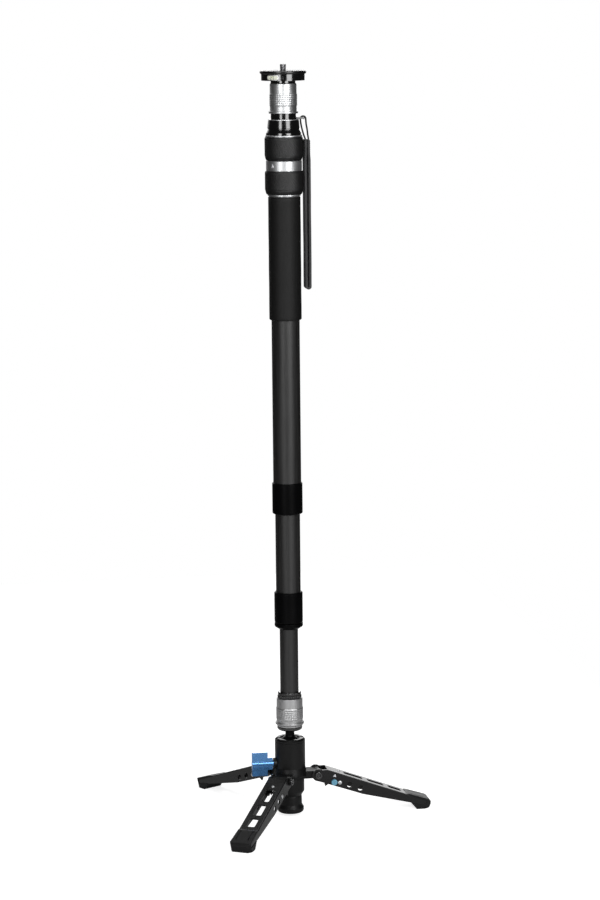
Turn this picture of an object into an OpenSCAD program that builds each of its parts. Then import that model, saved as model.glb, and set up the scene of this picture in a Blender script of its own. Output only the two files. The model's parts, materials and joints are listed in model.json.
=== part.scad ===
// Camera monopod: a four-section telescoping pole on a ball-jointed base with three folding legs.
// Millimetres, +Z up. The origin is the middle of the centre foot's flat sole, on the pole's axis.

/* [Tubes] */
// Outer diameter of section 1's tube
tube_d = 28; // [26:0.5:32]
// Wall of every tube
tube_wall = 1.25; // [1:0.05:1.4]
// Slip gap on each side between a tube and the next
tube_gap = 0.325; // [0.25:0.025:0.4]
// Length of section 2's tube
tube_2_len = 369; // [340:1:370]
// Gap between the locks of sections 2 and 3, pushed in
lock_gap = 1.5; // [1:0.1:20]
// Length of section 4's tube
tube_4_len = 354; // [320:1:355]

/* [Extension] */
// Length of section 2 that shows below section 1
out_1 = 80.1; // [70:0.1:120]
// Parting gap between collar 2 and the end ring of section 3, pushed in
out_2 = 0.2; // [0.15:0.05:0.3]
// Length of section 4 that shows below section 3
out_3 = 65.6; // [50:0.1:100]
// Travel left to draw section 2 out
travel_1 = 215; // [180:1:216]
// Travel left to draw section 3 out
travel_2 = 300; // [260:1:301]
// Travel left to draw section 4 out
travel_3 = 215; // [180:1:216]

/* [Collars] */
// Diameter of the collar on section 1
collar_1_d = 30.4; // [30:0.1:33]
// Diameter of the collar on section 2
collar_2_d = 28.7; // [27:0.1:30]
// Height of each collar
collar_h = 31.6; // [25:0.1:40]
// Height of section 3's end ring
end_ring_h = 6.3; // [5:0.1:10]
// Height of the guide lip inside a collar
lip_h = 5; // [3:0.5:8]
// Clearance of a guide lip round the tube that slides in it
lip_gap = 0.3; // [0.25:0.05:0.4]

/* [Handle] */
// Bare length of tube 1 between collar 1 and the grip
bare_len = 163.9; // [150:0.1:200]
// Length of the foam grip
grip_len = 122.1; // [90:0.1:150]
// Diameter of the foam grip
grip_d = 32.2; // [31:0.1:36]
// Height of the thin trim ring
trim_h = 2.5; // [1.5:0.1:4]
// Diameter of the thin trim ring
trim_d = 32.7; // [31:0.1:36]
// Height of the lower rubber ring
hold_ring_h = 22.9; // [18:0.1:30]
// Height of the index band
band_h = 10.3; // [6:0.1:14]
// Diameter of the index band
band_d = 35.4; // [34.5:0.1:37]
// Height of the upper rubber ring
twist_ring_h = 23.3; // [20:0.1:30]
// Diameter of both rubber rings
rubber_d = 37.9; // [37:0.1:41]
// Bevel on the lower edge of a rubber ring
rubber_bevel = 1.6; // [0.5:0.1:2]
// Diameter of the metal sleeves under the rubber
sleeve_d = 33; // [32:0.1:34]
// Diameter of the cross pin that drives the rod
drive_pin_d = 4; // [3:0.1:5]
// Turn of the twist ring, in degrees
twist_angle = 60; // [40:1:80]

/* [Shoulder and plate] */
// Height of the conical shoulder
shoulder_h = 17.1; // [14:0.1:24]
// Diameter of the shoulder at its foot
shoulder_d = 36.4; // [34:0.1:37]
// Diameter of the shoulder at its top
shoulder_top_d = 30.5; // [30:0.1:33]
// Height of the neck on the shoulder
neck_h = 5.4; // [3:0.1:8]
// Diameter of the neck on the shoulder
neck_d = 25; // [24:0.1:26]
// Neck that shows under the plate
plate_neck_h = 2.6; // [2:0.1:6]
// Diameter of the neck under the plate
plate_neck_d = 24.5; // [22:0.1:26]
// Diameter of the camera plate
plate_d = 43; // [40:0.1:60]
// Height of the camera plate
plate_h = 6.3; // [6:0.1:10]
// Diameter of the pad on the plate
pad_d = 46; // [43:0.1:63]
// Height of the pad on the plate
pad_h = 3.2; // [2:0.1:4]
// Diameter of the camera screw
screw_d = 6.35; // [6.35, 9.525]
// Length of camera screw above the pad
screw_h = 6.3; // [4.5:0.1:8]
// Width of the spirit level's bezel
level_w = 13.5; // [10:0.1:16]
// Height of the spirit level's bezel
level_h = 5.6; // [4:0.1:5.8]
// Rim of the bezel round the vial
level_rim = 0.9; // [0.6:0.1:1.2]
// Direction of the spirit level round the plate
level_angle = 231.5; // [0:0.5:359]
// Diameter of the set screw in the plate's rim
set_screw_d = 3; // [2:0.1:4]
// Direction of the set screw round the plate, from the level
set_screw_turn = 26.5; // [25:0.5:335]

/* [Lock collars] */
// Height of a knurled lock collar
lock_collar_h = 29.4; // [26:0.1:36]
// Diameter of a lock collar
lock_collar_d = 26.4; // [26:0.1:28]
// Diameter over the knurl
knurl_d = 27.5; // [26.5:0.1:29]
// Height of the knurl
knurl_h = 11.6; // [8:0.1:14]
// Diameter of the flange
flange_d = 29; // [28:0.1:30]
// Bore of a lock collar
lock_bore_d = 23; // [22.5:0.1:23.5]
// Play at each end of a part that turns
end_play = 0.2; // [0.1:0.05:0.3]
// Running clearance of a turning fit
run_gap = 0.05; // [0.02:0.01:0.08]
// Loose clearance of a hidden part
free_gap = 0.3; // [0.2:0.05:0.4]

/* [Base] */
// Height of the rubber centre foot
foot_h = 17.5; // [14:0.1:24]
// Widest diameter of the centre foot
foot_d = 27; // [25:0.1:32]
// Waist diameter of the centre foot
foot_waist_d = 23; // [21:0.1:24]
// Height of the metal boss over the centre foot
boss_h = 18; // [14:0.1:24]
// Diameter of the metal boss
boss_d = 28.4; // [26:0.1:30]
// Height of the leg crown
crown_h = 12; // [11:0.1:16]
// Diameter of the crown's flared skirt
skirt_d = 34; // [32:0.1:35]
// Height of the ball housing
housing_h = 27; // [26:0.1:27.4]
// Diameter of the ball housing
housing_d = 30.8; // [30.2:0.1:32]
// Height of the retaining ring
ring_h = 3.4; // [3:0.1:4]
// Diameter of the ball
ball_d = 24; // [22:0.1:24]
// Height of the ball's centre below the retaining ring
ball_drop = 6; // [5.8:0.1:6.2]
// Wall of the socket liner
liner_wall = 1.4; // [1:0.1:1.5]
// Diameter of the stem
stem_d = 9.2; // [8:0.1:10]
// Stem that shows between ring and cap
stem_show = 7.6; // [6.5:0.1:12]
// Height of the bowl-shaped cap
cap_h = 4.6; // [4:0.1:8]
// Diameter of the cap
cap_d = 25.4; // [24:0.1:27]
// Height of the serrated ring under tube 4
serrated_h = 6; // [5:0.1:10]
// Diameter of the serrated ring
serrated_d = 26; // [24.5:0.1:28]
// Number of serrations
serration_count = 18; // [12:1:24]

/* [Lock knob] */
// Height of the knob's axis over the sole
knob_z = 51.4; // [50.5:0.1:52.5]
// Length of the wing
wing_len = 16; // [12:0.1:20]
// Span of the wing
wing_span = 24.4; // [20:0.1:27]
// Thickness of the wing
wing_t = 3.6; // [3:0.1:4.4]
// Diameter of the barrel along the wing
barrel_d = 6.6; // [6:0.1:8]
// Span of the tab between wing and housing
tab_span = 12.6; // [10:0.1:16]
// Length of the knob's neck
neck_len = 6; // [4:0.1:9]
// Diameter of the lock screw
lock_screw_d = 4; // [3.5:0.1:4.4]
// Diameter of the brake shoe
shoe_d = 11.6; // [11.2:0.1:11.8]

/* [Legs] */
// Radius of the leg pivots from the pole's axis
pivot_r = 27.5; // [27:0.1:32]
// Height of the leg pivots over the soles
sole_drop = 41.4; // [41:0.1:42]
// Height of the centre foot over the ground
foot_clear = 2.4; // [2:0.1:3.4]
// Slope of a leg below level, in degrees
leg_slope = 20.2; // [20:0.1:20.5]
// Length of a leg's channel from its pivot
leg_len = 118.8; // [118:0.1:120]
// Height of a leg's top face over its axis
leg_rise = 8.2; // [8:0.05:8.6]
// Width of a leg at its pivot
leg_w = 19.6; // [19:0.1:20.2]
// Width of a leg at its foot
leg_tip_w = 20.8; // [20:0.1:21.4]
// Wall of a leg's channel
leg_wall = 1.6; // [1.4:0.1:2]
// Width of the windows in a leg's top
window_w = 8.6; // [7:0.1:11]
// Diameter of a pivot bolt
pivot_d = 4.4; // [4:0.1:5]
// Diameter of a pivot bolt's head
pivot_head_d = 7.4; // [6:0.1:8]
// Thickness of a pivot bolt's head
pivot_head_t = 3; // [1.6:0.1:3.2]
// Clearance on each side of a crown arm in its leg
arm_gap = 0.3; // [0.2:0.05:0.5]
// Height of a crown arm
arm_h = 7.8; // [6:0.1:8]
// Diameter of the eye at the end of a crown arm
arm_eye_d = 10; // [9:0.1:11]
// Length of a rubber leg foot
leg_foot_len = 28.3; // [27.5:0.1:29]
// Width of a rubber leg foot
leg_foot_w = 22.2; // [22:0.1:26]
// Diameter of a leg button
button_d = 6.1; // [5:0.1:6.5]
// Travel of a leg button
button_travel = 1.2; // [0.8:0.1:1.5]
// Wire diameter of a button spring
spring_wire = 0.7; // [0.5:0.1:0.8]
// Coils of a button spring
spring_coils = 6; // [4:1:7]

/* [Strap] */
// Diameter of the strap's cord
cord_d = 1.2; // [1:0.1:1.4]
// Width of the webbing
webbing_w = 13; // [10:0.5:16]
// Thickness of one layer of webbing
webbing_t = 2.3; // [1.5:0.1:2.6]
// Outer thickness of the doubled webbing
webbing_pair_t = 6.3; // [6:0.1:7.5]
// Hanging length of the webbing
webbing_len = 148; // [120:1:160]
// Height of the stitched block at the top of the webbing
stitch_h = 15; // [10:0.5:20]
// Gap between the webbing and the rubber rings
strap_gap = 0.55; // [0.4:0.05:1]

/* [Hidden] */
$fn = 96;

// Finishes, as plain colours
carbon = [0.2, 0.2, 0.21];
black = [0.06, 0.06, 0.065];
rubber = [0.11, 0.11, 0.11];
foam = [0.14, 0.14, 0.14];
silver = [0.82, 0.83, 0.84];
grey = [0.55, 0.56, 0.57];
steel = [0.7, 0.7, 0.72];
blue = [0.22, 0.46, 0.72];
bronze = [0.65, 0.52, 0.32];
moulded = [0.3, 0.3, 0.3];
webbing = [0.1, 0.1, 0.1];
vial_green = [0.86, 0.88, 0.7];

// Heights of the base, from the sole of the centre foot upwards
crown_z = foot_h + boss_h;
pivot_z = sole_drop - foot_clear;
housing_z = crown_z + crown_h;
ring_z = housing_z + housing_h;
ball_z = ring_z - ball_drop;
cap_z = ring_z + ring_h + stem_show;
spigot_z = cap_z + cap_h;
lower_collar_z = spigot_z + end_play;
serrated_z = lower_collar_z + lock_collar_h + end_play;

// Heights of the pole, from the serrated ring upwards
end_ring_z = serrated_z + serrated_h + out_3;
collar_2_z = end_ring_z + end_ring_h + out_2;
collar_1_z = collar_2_z + collar_h + out_1;
grip_z = collar_1_z + collar_h + bare_len;
trim_z = grip_z + grip_len;
hold_z = trim_z + trim_h;
band_z = hold_z + hold_ring_h;
twist_z = band_z + band_h;
shoulder_z = twist_z + twist_ring_h;
neck_z = shoulder_z + shoulder_h;
collar_seat_z = neck_z + neck_h;
upper_collar_z = collar_seat_z + end_play;
plate_neck_z = upper_collar_z + lock_collar_h + end_play;
plate_z = plate_neck_z + plate_neck_h;
pad_z = plate_z + plate_h;
pad_top_z = pad_z + pad_h;

// Radii of the nested tubes, section 1 outermost
function tube_r(n) = tube_d / 2 - (n - 1) * (tube_wall + tube_gap);
function bore_r(n) = tube_r(n) - tube_wall;

// Ends of the tubes and of the brake bushes on top of them
brake_h = 14;
bush_skirt_h = 12;
end_lip_h = 2;
tube_4_plug_h = 9.9;
tube_seat_h = 8.7;
tube_bottom = [
    0, collar_1_z + lip_h, collar_2_z + lip_h, end_ring_z + end_lip_h, spigot_z + tube_4_plug_h
];
tube_2_top = tube_bottom[2] + tube_2_len;
tube_3_top = tube_2_top - bush_skirt_h - lock_gap - brake_h;
tube_top = [
    0, shoulder_z + tube_seat_h, tube_2_top, tube_3_top, tube_bottom[4] + tube_4_len
];

// Nested hexagonal drive: widths across the flats
rod_af = 4;
rod_wall = 1;
rod_gap = 0.3;
drive_grip = 14;
function drive_bore_af(n) = rod_af + 2 * rod_gap + (n - 2) * 2 * (rod_wall + rod_gap);
function drive_tube_af(n) = drive_bore_af(n) + 2 * rod_wall;

// Lock cones and the bushes round them
cone_h = 14;
cone_taper = 0.6;
bush_wall = 2.2;
cone_seat_t = 1.2;
bush_slot_w = 1.4;
function bush_bore_r(n) = min(bore_r(n) - 0.7, bore_r(n - 1) - bush_wall);
function cone_r(n) = bush_bore_r(n) - free_gap;
function cone_z(n) = tube_top[n] + brake_h - cone_h;

// Twist ring drive
drive_pin_z = twist_z + twist_ring_h / 2;
drive_head_h = 12;
drive_head_r = bore_r(1) - 0.45;
pin_slot_gap = 0.3;

// Shoulder and plate seats
spigot_r = lock_bore_d / 2 - free_gap;
post_r = 8;
post_gap = 0.05;
post_len = 25;
post_seat_h = 3;
screw_head_d = 10;
screw_head_h = 3;
screw_inner_len = 11;
screw_bore_gap = 0.05;
screw_relief = 0.25;
level_depth = 3;
shoulder_groove_w = 1.3;
shoulder_groove_d = 0.7;
shoulder_groove_at = 6.2;

// Ball joint seats
ball_r = ball_d / 2;
liner_in_r = ball_r + run_gap;
liner_r = liner_in_r + liner_wall;
socket_r = liner_r + run_gap;
liner_top = 1.5;
liner_bottom = -11.6;
stem_head_d = 14.6;
stem_head_h = 6;
ring_mouth_r = 10.4;
ring_bevel = 1.8;

// Knob stations along its axis, outwards from the pole
boss_face = housing_d / 2 + 1.8;
knob_gap = 0.2;
boss_r = 5.6;
shoe_in = 2;
shoe_out = 12;
shoe_end_gap = 0.5;
screw_tip_gap = 0.1;
hub_x = boss_face + knob_gap;
wing_x = hub_x + neck_len;

// Leg stations along a leg, outwards from its pivot, and their sizes
leg_angles = [0, 120, 240];
windows = [[26.4, 20.6], [52.7, 17.6], [75.7, 13.8]];
window_round = 1.6;
top_wall_from = 7;
leg_low_near = -5.8;
leg_low_mid = -5.1;
leg_low_tip = 3;
leg_mid_x = 51;
ear_r = 6.4;
arm_w = 2 * (leg_half_w(-ear_r) - leg_wall - arm_gap);
button_x = 17.8;
button_z = -1.9;
button_proud = button_travel + 1.4;
button_flange_t = 1.4;
button_flange_d = 7.6;
button_stem_d = 2.8;
top_hole_x = 21.2;
top_hole_d = 2.6;
side_holes = [34.4, 46.3];
side_hole_d = 5.8;
pawl_x = 10.6;
pawl_drop = 3;
pawl_w = 4.4;
leg_foot_lip = 1.8;
leg_foot_grip = 1;
leg_foot_round = 1.2;
leg_foot_end = 4;
spring_r = 2.6;
spring_gap = 0.1;
head_gap = 0.1;

// Strap stations, in the plane through the pole's axis and the lug
lug_x = 19.5;
lug_bar_r = 0.8;
lug_half_w = 4.2;
lug_ear_t = 1.4;
bight_r = 2.6;
lug_z = neck_z + 0.6;
bight_z = lug_z - bight_r + cord_d / 2 + lug_bar_r + free_gap;
strap_x = rubber_d / 2 + strap_gap;
webbing_top_z = neck_z - 20.4;
cord_in_x = strap_x + 2.4;
cord_out_x = strap_x + 4.6;

// Common shapes

module tube_shape(r_out, r_in, z0, z1) {
    translate([0, 0, z0])
        difference() {
            cylinder(h = z1 - z0, r = r_out);
            translate([0, 0, -1])
                cylinder(h = z1 - z0 + 2, r = r_in);
        }
}

module hex_bar(af, z0, z1) {
    translate([0, 0, z0])
        cylinder(h = z1 - z0, r = af / 2 / cos(30), $fn = 6);
}

module rounded_rect(w, h, r) {
    square([w - 2 * r, h], center = true);
    square([w, h - 2 * r], center = true);
    for (x = [-1, 1], y = [-1, 1])
        translate([x * (w / 2 - r), y * (h / 2 - r)])
            circle(r = r, $fn = 32);
}

module stadium(w, h) {
    square([w - h, h], center = true);
    for (x = [-1, 1])
        translate([x * (w - h) / 2, 0])
            circle(d = h, $fn = 48);
}

// A round tube swept along a list of points. up is never along the tube.
function unit(v) = v / norm(v);
function along(p, i) = unit(p[min(i + 1, len(p) - 1)] - p[max(i - 1, 0)]);
function ring_at(p, i, r, sides, up) =
    let (t = along(p, i), u = unit(cross(t, up)), v = cross(u, t))
    [for (k = [0 : sides - 1]) p[i] + r * (cos(360 * k / sides) * u + sin(360 * k / sides) * v)];
module swept_tube(p, r, sides, up) {
    points = [for (i = [0 : len(p) - 1]) each ring_at(p, i, r, sides, up)];
    last = (len(p) - 1) * sides;
    walls = [
        for (i = [0 : len(p) - 2], k = [0 : sides - 1])
            let (a = i * sides + k, b = i * sides + (k + 1) % sides)
            each [[a, a + sides, b], [b, a + sides, b + sides]]
    ];
    caps = [
        for (k = [1 : sides - 2])
            each [[0, k, k + 1], [last, last + k + 1, last + k]]
    ];
    polyhedron(points = points, faces = concat(walls, caps));
}

// Camera plate

module camera_screw() {
    color(steel) {
        translate([0, 0, pad_top_z])
            cylinder(h = screw_h, d = screw_d);
        translate([0, 0, plate_z - screw_inner_len])
            cylinder(h = screw_inner_len + plate_h + pad_h, d = screw_d - 2 * screw_relief);
        translate([0, 0, plate_z - screw_inner_len - screw_head_h])
            cylinder(h = screw_head_h, d = screw_head_d);
    }
}

module plate_pad() {
    color(rubber)
        tube_shape(pad_d / 2, screw_d / 2 + free_gap, pad_z, pad_top_z);
}

module rim_place(angle, r, z) {
    rotate([0, 0, angle])
        translate([r, 0, z])
            rotate([90, 0, 90])
                children();
}

module level_pocket(w, h, depth) {
    rim_place(level_angle, plate_d / 2 - depth, plate_z + plate_h / 2)
        linear_extrude(depth + 2)
            stadium(w, h);
}

module camera_plate() {
    post_z = plate_neck_z - post_len;
    color(black)
        difference() {
            union() {
                translate([0, 0, plate_z])
                    cylinder(h = plate_h, d = plate_d);
                translate([0, 0, plate_neck_z])
                    cylinder(h = plate_neck_h, d = plate_neck_d);
                translate([0, 0, post_z])
                    cylinder(h = post_len, r = post_r);
            }
            translate([0, 0, post_z - 1])
                cylinder(h = pad_top_z - post_z, d = screw_d + 2 * screw_bore_gap);
            translate([0, 0, post_z - 1])
                cylinder(h = plate_z - screw_inner_len - post_z + 1, d = screw_head_d + 2 * screw_bore_gap);
            level_pocket(level_w, level_h, level_depth);
            rim_place(level_angle + set_screw_turn, plate_d / 2 - 7, plate_z + plate_h / 2)
                cylinder(h = 8, d = set_screw_d);
        }
}

module level_bezel() {
    color(silver)
        intersection() {
            difference() {
                level_pocket(level_w, level_h, level_depth);
                level_pocket(level_w - 2 * level_rim, level_h - 2 * level_rim, level_depth - 0.8);
            }
            translate([0, 0, plate_z])
                cylinder(h = plate_h, r = plate_d / 2 + 0.3);
        }
}

module level_vial() {
    color(vial_green)
        intersection() {
            level_pocket(level_w - 2 * level_rim, level_h - 2 * level_rim, level_depth - 0.8);
            translate([0, 0, plate_z])
                cylinder(h = plate_h, r = plate_d / 2 + 0.1);
        }
}

module plate_set_screw() {
    color(steel)
        rim_place(level_angle + set_screw_turn, plate_d / 2 - 7, plate_z + plate_h / 2)
            difference() {
                cylinder(h = 6, d = set_screw_d);
                translate([0, 0, 4])
                    cylinder(h = 3, d = set_screw_d / 2, $fn = 6);
            }
}

// Knurled lock collars, top and bottom

module lock_collar(z, flange_z, flange_h, knurl_z) {
    r = lock_collar_d / 2;
    step = 0.4;
    lip = flange_z > 0 ? [[r - step, 0], [r - step, flange_z]] : [];
    body = [
        [flange_d / 2 - step, flange_z], [flange_d / 2, flange_z + step],
        [flange_d / 2, flange_z + flange_h - step], [flange_d / 2 - step, flange_z + flange_h],
        [r, flange_z + flange_h], [r, knurl_z], [knurl_d / 2, knurl_z + step],
        [knurl_d / 2, knurl_z + knurl_h - step], [r, knurl_z + knurl_h],
        [r, lock_collar_h - step], [r - step, lock_collar_h], [lock_bore_d / 2, lock_collar_h]
    ];
    translate([0, 0, z])
        rotate_extrude()
            polygon(concat([[lock_bore_d / 2, 0]], lip, body));
}

module upper_lock_collar() {
    color(silver)
        lock_collar(upper_collar_z, 0, 2.2, 7.6);
}

module lower_lock_collar() {
    color(grey)
        lock_collar(lower_collar_z, 1.8, 3, 7.6);
}

// Shoulder and strap

module shoulder_cone() {
    foot_r = shoulder_d / 2;
    top_r = shoulder_top_d / 2;
    rim_h = 1.6;
    groove_z = shoulder_z + shoulder_groove_at;
    groove_r = foot_r - (foot_r - top_r) * (shoulder_groove_at - rim_h) / (shoulder_h - rim_h);
    color(black)
        rotate_extrude()
            difference() {
                polygon([
                    [tube_r(1), shoulder_z], [foot_r, shoulder_z], [foot_r, shoulder_z + rim_h],
                    [top_r, neck_z - 0.6], [top_r - 0.6, neck_z], [neck_d / 2, neck_z],
                    [neck_d / 2, collar_seat_z], [spigot_r, collar_seat_z],
                    [spigot_r, plate_neck_z], [post_r + post_gap, plate_neck_z],
                    [post_r + post_gap, plate_neck_z - post_len - post_seat_h],
                    [0, plate_neck_z - post_len - post_seat_h],
                    [0, tube_top[1]], [tube_r(1), tube_top[1]]
                ]);
                translate([groove_r - shoulder_groove_d, groove_z])
                    square([2 * shoulder_groove_d, shoulder_groove_w]);
            }
}

module strap_lug() {
    ear_h = 3.4;
    base_x = neck_d / 2 + 0.3;
    base_len = shoulder_top_d / 2 - 0.6 - base_x;
    color(steel) {
        translate([base_x, -lug_half_w, neck_z])
            cube([base_len, 2 * lug_half_w, lug_bar_r]);
        for (side = [-1, 1])
            translate([base_x, side * (lug_half_w - lug_ear_t / 2), 0])
                rotate([90, 0, 0])
                    translate([0, 0, -lug_ear_t / 2])
                        linear_extrude(lug_ear_t) {
                            translate([0, neck_z])
                                square([lug_x - base_x, ear_h / 2]);
                            translate([lug_x - base_x, lug_z])
                                circle(d = 2.4 * lug_bar_r, $fn = 32);
                        }
        translate([lug_x, lug_half_w, lug_z])
            rotate([90, 0, 0])
                cylinder(h = 2 * lug_half_w, r = lug_bar_r);
    }
}

// Route of the cord: up from the webbing, over the lug's bar and down again
cord_route = concat(
    [
        [cord_in_x, 0, webbing_top_z], [cord_in_x, 0, webbing_top_z + 1.5],
        [cord_in_x - 1, 0, webbing_top_z + 5], [cord_in_x - 2.6, 0, webbing_top_z + 10],
        [cord_in_x - 4.1, 0, webbing_top_z + 15]
    ],
    [for (a = [185 : -21 : -5]) [lug_x + bight_r * cos(a), 0, bight_z + bight_r * sin(a)]],
    [
        [cord_out_x - 1, 0, webbing_top_z + 15], [cord_out_x + 0.3, 0, webbing_top_z + 10],
        [cord_out_x + 0.4, 0, webbing_top_z + 5], [cord_out_x, 0, webbing_top_z + 1.5],
        [cord_out_x, 0, webbing_top_z]
    ]
);

module strap_cord() {
    color(webbing)
        swept_tube(cord_route, cord_d / 2, 8, [0, 1, 0]);
}

module strap_webbing() {
    slit_t = webbing_pair_t - 2 * webbing_t;
    bottom_z = webbing_top_z - webbing_len;
    fold_r = webbing_pair_t / 2;
    color(webbing)
        translate([strap_x, webbing_w / 2, 0])
            rotate([90, 0, 0])
                linear_extrude(webbing_w)
                    difference() {
                        union() {
                            translate([0, bottom_z + fold_r])
                                square([webbing_pair_t, webbing_len - fold_r]);
                            translate([fold_r, bottom_z + fold_r])
                                circle(r = fold_r, $fn = 48);
                        }
                        translate([webbing_t, bottom_z + fold_r])
                            square([slit_t, webbing_len - fold_r - stitch_h]);
                        translate([fold_r, bottom_z + fold_r])
                            circle(d = slit_t, $fn = 48);
                    }
}

// Handle

module rubber_ring(z, h) {
    r = rubber_d / 2;
    edge = 0.7;
    rotate_extrude()
        polygon([
            [sleeve_d / 2, z], [r - rubber_bevel, z], [r, z + 2 * rubber_bevel],
            [r, z + h - edge], [r - edge, z + h], [sleeve_d / 2, z + h]
        ]);
}

module twist_rubber() {
    color(rubber)
        rubber_ring(twist_z + end_play, twist_ring_h - 2 * end_play);
}

module hold_rubber() {
    color(rubber)
        rubber_ring(hold_z, hold_ring_h);
}

module cross_bore(d, half_len) {
    translate([-half_len, 0, drive_pin_z])
        rotate([0, 90, 0])
            cylinder(h = 2 * half_len, d = d);
}

module twist_ring() {
    color(silver)
        difference() {
            tube_shape(sleeve_d / 2, tube_r(1) + run_gap, twist_z + end_play, shoulder_z - end_play);
            cross_bore(drive_pin_d, sleeve_d);
        }
}

module drive_pin() {
    color(steel)
        cross_bore(drive_pin_d, sleeve_d / 2 - 0.4);
}

module drive_rod() {
    head_z = drive_pin_z - drive_head_h / 2;
    rod_end = tube_top[2] + brake_h - travel_1 - drive_grip;
    color(steel)
        difference() {
            union() {
                translate([0, 0, head_z])
                    cylinder(h = drive_head_h, r = drive_head_r);
                hex_bar(rod_af, rod_end, head_z);
            }
            cross_bore(drive_pin_d, tube_d);
        }
}

module handle_sleeve() {
    color(silver)
        rotate_extrude()
            polygon([
                [tube_r(1), hold_z], [sleeve_d / 2, hold_z], [sleeve_d / 2, band_z],
                [band_d / 2 - 0.3, band_z], [band_d / 2, band_z + 0.3],
                [band_d / 2, twist_z - 0.3], [band_d / 2 - 0.3, twist_z], [tube_r(1), twist_z]
            ]);
}

module grip_trim_ring() {
    color(silver)
        tube_shape(trim_d / 2, tube_r(1), trim_z, hold_z);
}

module foam_grip() {
    edge = 1;
    color(foam)
        rotate_extrude()
            polygon([
                [tube_r(1), grip_z], [grip_d / 2 - edge, grip_z], [grip_d / 2, grip_z + edge],
                [grip_d / 2, trim_z], [tube_r(1), trim_z]
            ]);
}

// Tubes and their collars

module tube(n) {
    tube_shape(tube_r(n), bore_r(n), tube_bottom[n], tube_top[n]);
}

module tube_1() {
    slot_h = drive_pin_d + 2 * pin_slot_gap;
    slot_end = asin((drive_pin_d / 2 + pin_slot_gap) / bore_r(1)) + 1;
    color(carbon)
        difference() {
            tube(1);
            for (half = [0, 180])
                rotate([0, 0, half - slot_end])
                    rotate_extrude(angle = twist_angle + 2 * slot_end)
                        translate([bore_r(1) - 1, drive_pin_z - slot_h / 2])
                            square([tube_wall + 2, slot_h]);
        }
}

module tube_2() {
    color(carbon)
        tube(2);
}

module tube_3() {
    color(carbon)
        tube(3);
}

module tube_4() {
    color(carbon)
        tube(4);
}

// A collar glued on the end of section n, with a lip that guides section n + 1
module collar(n, d, z) {
    edge = 1;
    lip_r = tube_r(n + 1) + lip_gap;
    rotate_extrude()
        polygon([
            [lip_r, z], [d / 2 - edge, z], [d / 2, z + edge], [d / 2, z + collar_h - edge],
            [d / 2 - edge, z + collar_h], [tube_r(n), z + collar_h],
            [tube_r(n), z + lip_h], [lip_r, z + lip_h]
        ]);
}

module collar_1() {
    color(black)
        collar(1, collar_1_d, collar_1_z);
}

module collar_2() {
    color(black)
        collar(2, collar_2_d, collar_2_z);
}

module end_ring_3() {
    lip_r = tube_r(4) + lip_gap;
    taper_h = 2.6;
    top_z = end_ring_z + end_ring_h;
    color(black)
        rotate_extrude()
            polygon([
                [lip_r, end_ring_z], [lip_r + 0.8, end_ring_z], [collar_2_d / 2, end_ring_z + taper_h],
                [collar_2_d / 2, top_z], [tube_r(3), top_z], [tube_r(3), tube_bottom[3]],
                [lip_r, tube_bottom[3]]
            ]);
}

// Section locks: a split bush on the end of section n, and the cone that spreads it inside section n - 1

module brake_bush(n) {
    brake_r = bore_r(n - 1) - run_gap;
    top_z = tube_top[n] + brake_h;
    seat_z = cone_z(n) - free_gap;
    throat_r = cone_r(n) - cone_taper - 0.6;
    difference() {
        rotate_extrude()
            polygon([
                [throat_r, tube_top[n] - bush_skirt_h], [bore_r(n), tube_top[n] - bush_skirt_h],
                [bore_r(n), tube_top[n]], [brake_r, tube_top[n]], [brake_r, top_z],
                [bush_bore_r(n), top_z], [bush_bore_r(n) - cone_taper, seat_z], [throat_r, seat_z]
            ]);
        for (a = [0 : 60 : 120])
            rotate([0, 0, a])
                translate([-tube_d / 2, -bush_slot_w / 2, tube_top[n] + cone_seat_t])
                    cube([tube_d, bush_slot_w, brake_h]);
    }
}

module lock_cone(n, socket_af) {
    socket_h = cone_h / 2;
    difference() {
        translate([0, 0, cone_z(n)])
            cylinder(h = cone_h, r1 = cone_r(n) - cone_taper, r2 = cone_r(n));
        hex_bar(drive_bore_af(n), cone_z(n) - 1, cone_z(n) + cone_h + 1);
        hex_bar(socket_af, cone_z(n) - 1, cone_z(n) + socket_h);
    }
}

module drive_tube(n, reach_z) {
    difference() {
        hex_bar(drive_tube_af(n), reach_z, cone_z(n) + cone_h / 2);
        hex_bar(drive_bore_af(n), reach_z - 1, cone_z(n) + cone_h);
    }
}

module brake_bush_2() {
    color(moulded)
        brake_bush(2);
}

module brake_bush_3() {
    color(moulded)
        brake_bush(3);
}

module brake_bush_4() {
    color(moulded)
        brake_bush(4);
}

module lock_cone_2() {
    color(bronze)
        lock_cone(2, drive_tube_af(2));
}

module lock_cone_3() {
    color(bronze)
        lock_cone(3, drive_tube_af(3));
}

module lock_cone_4() {
    color(bronze)
        lock_cone(4, drive_bore_af(4));
}

module drive_tube_2() {
    color(steel)
        drive_tube(2, tube_top[3] + brake_h - travel_2 - drive_grip);
}

module drive_tube_3() {
    color(steel)
        drive_tube(3, tube_top[4] + brake_h - travel_3 - drive_grip);
}

// Foot of the pole

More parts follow.
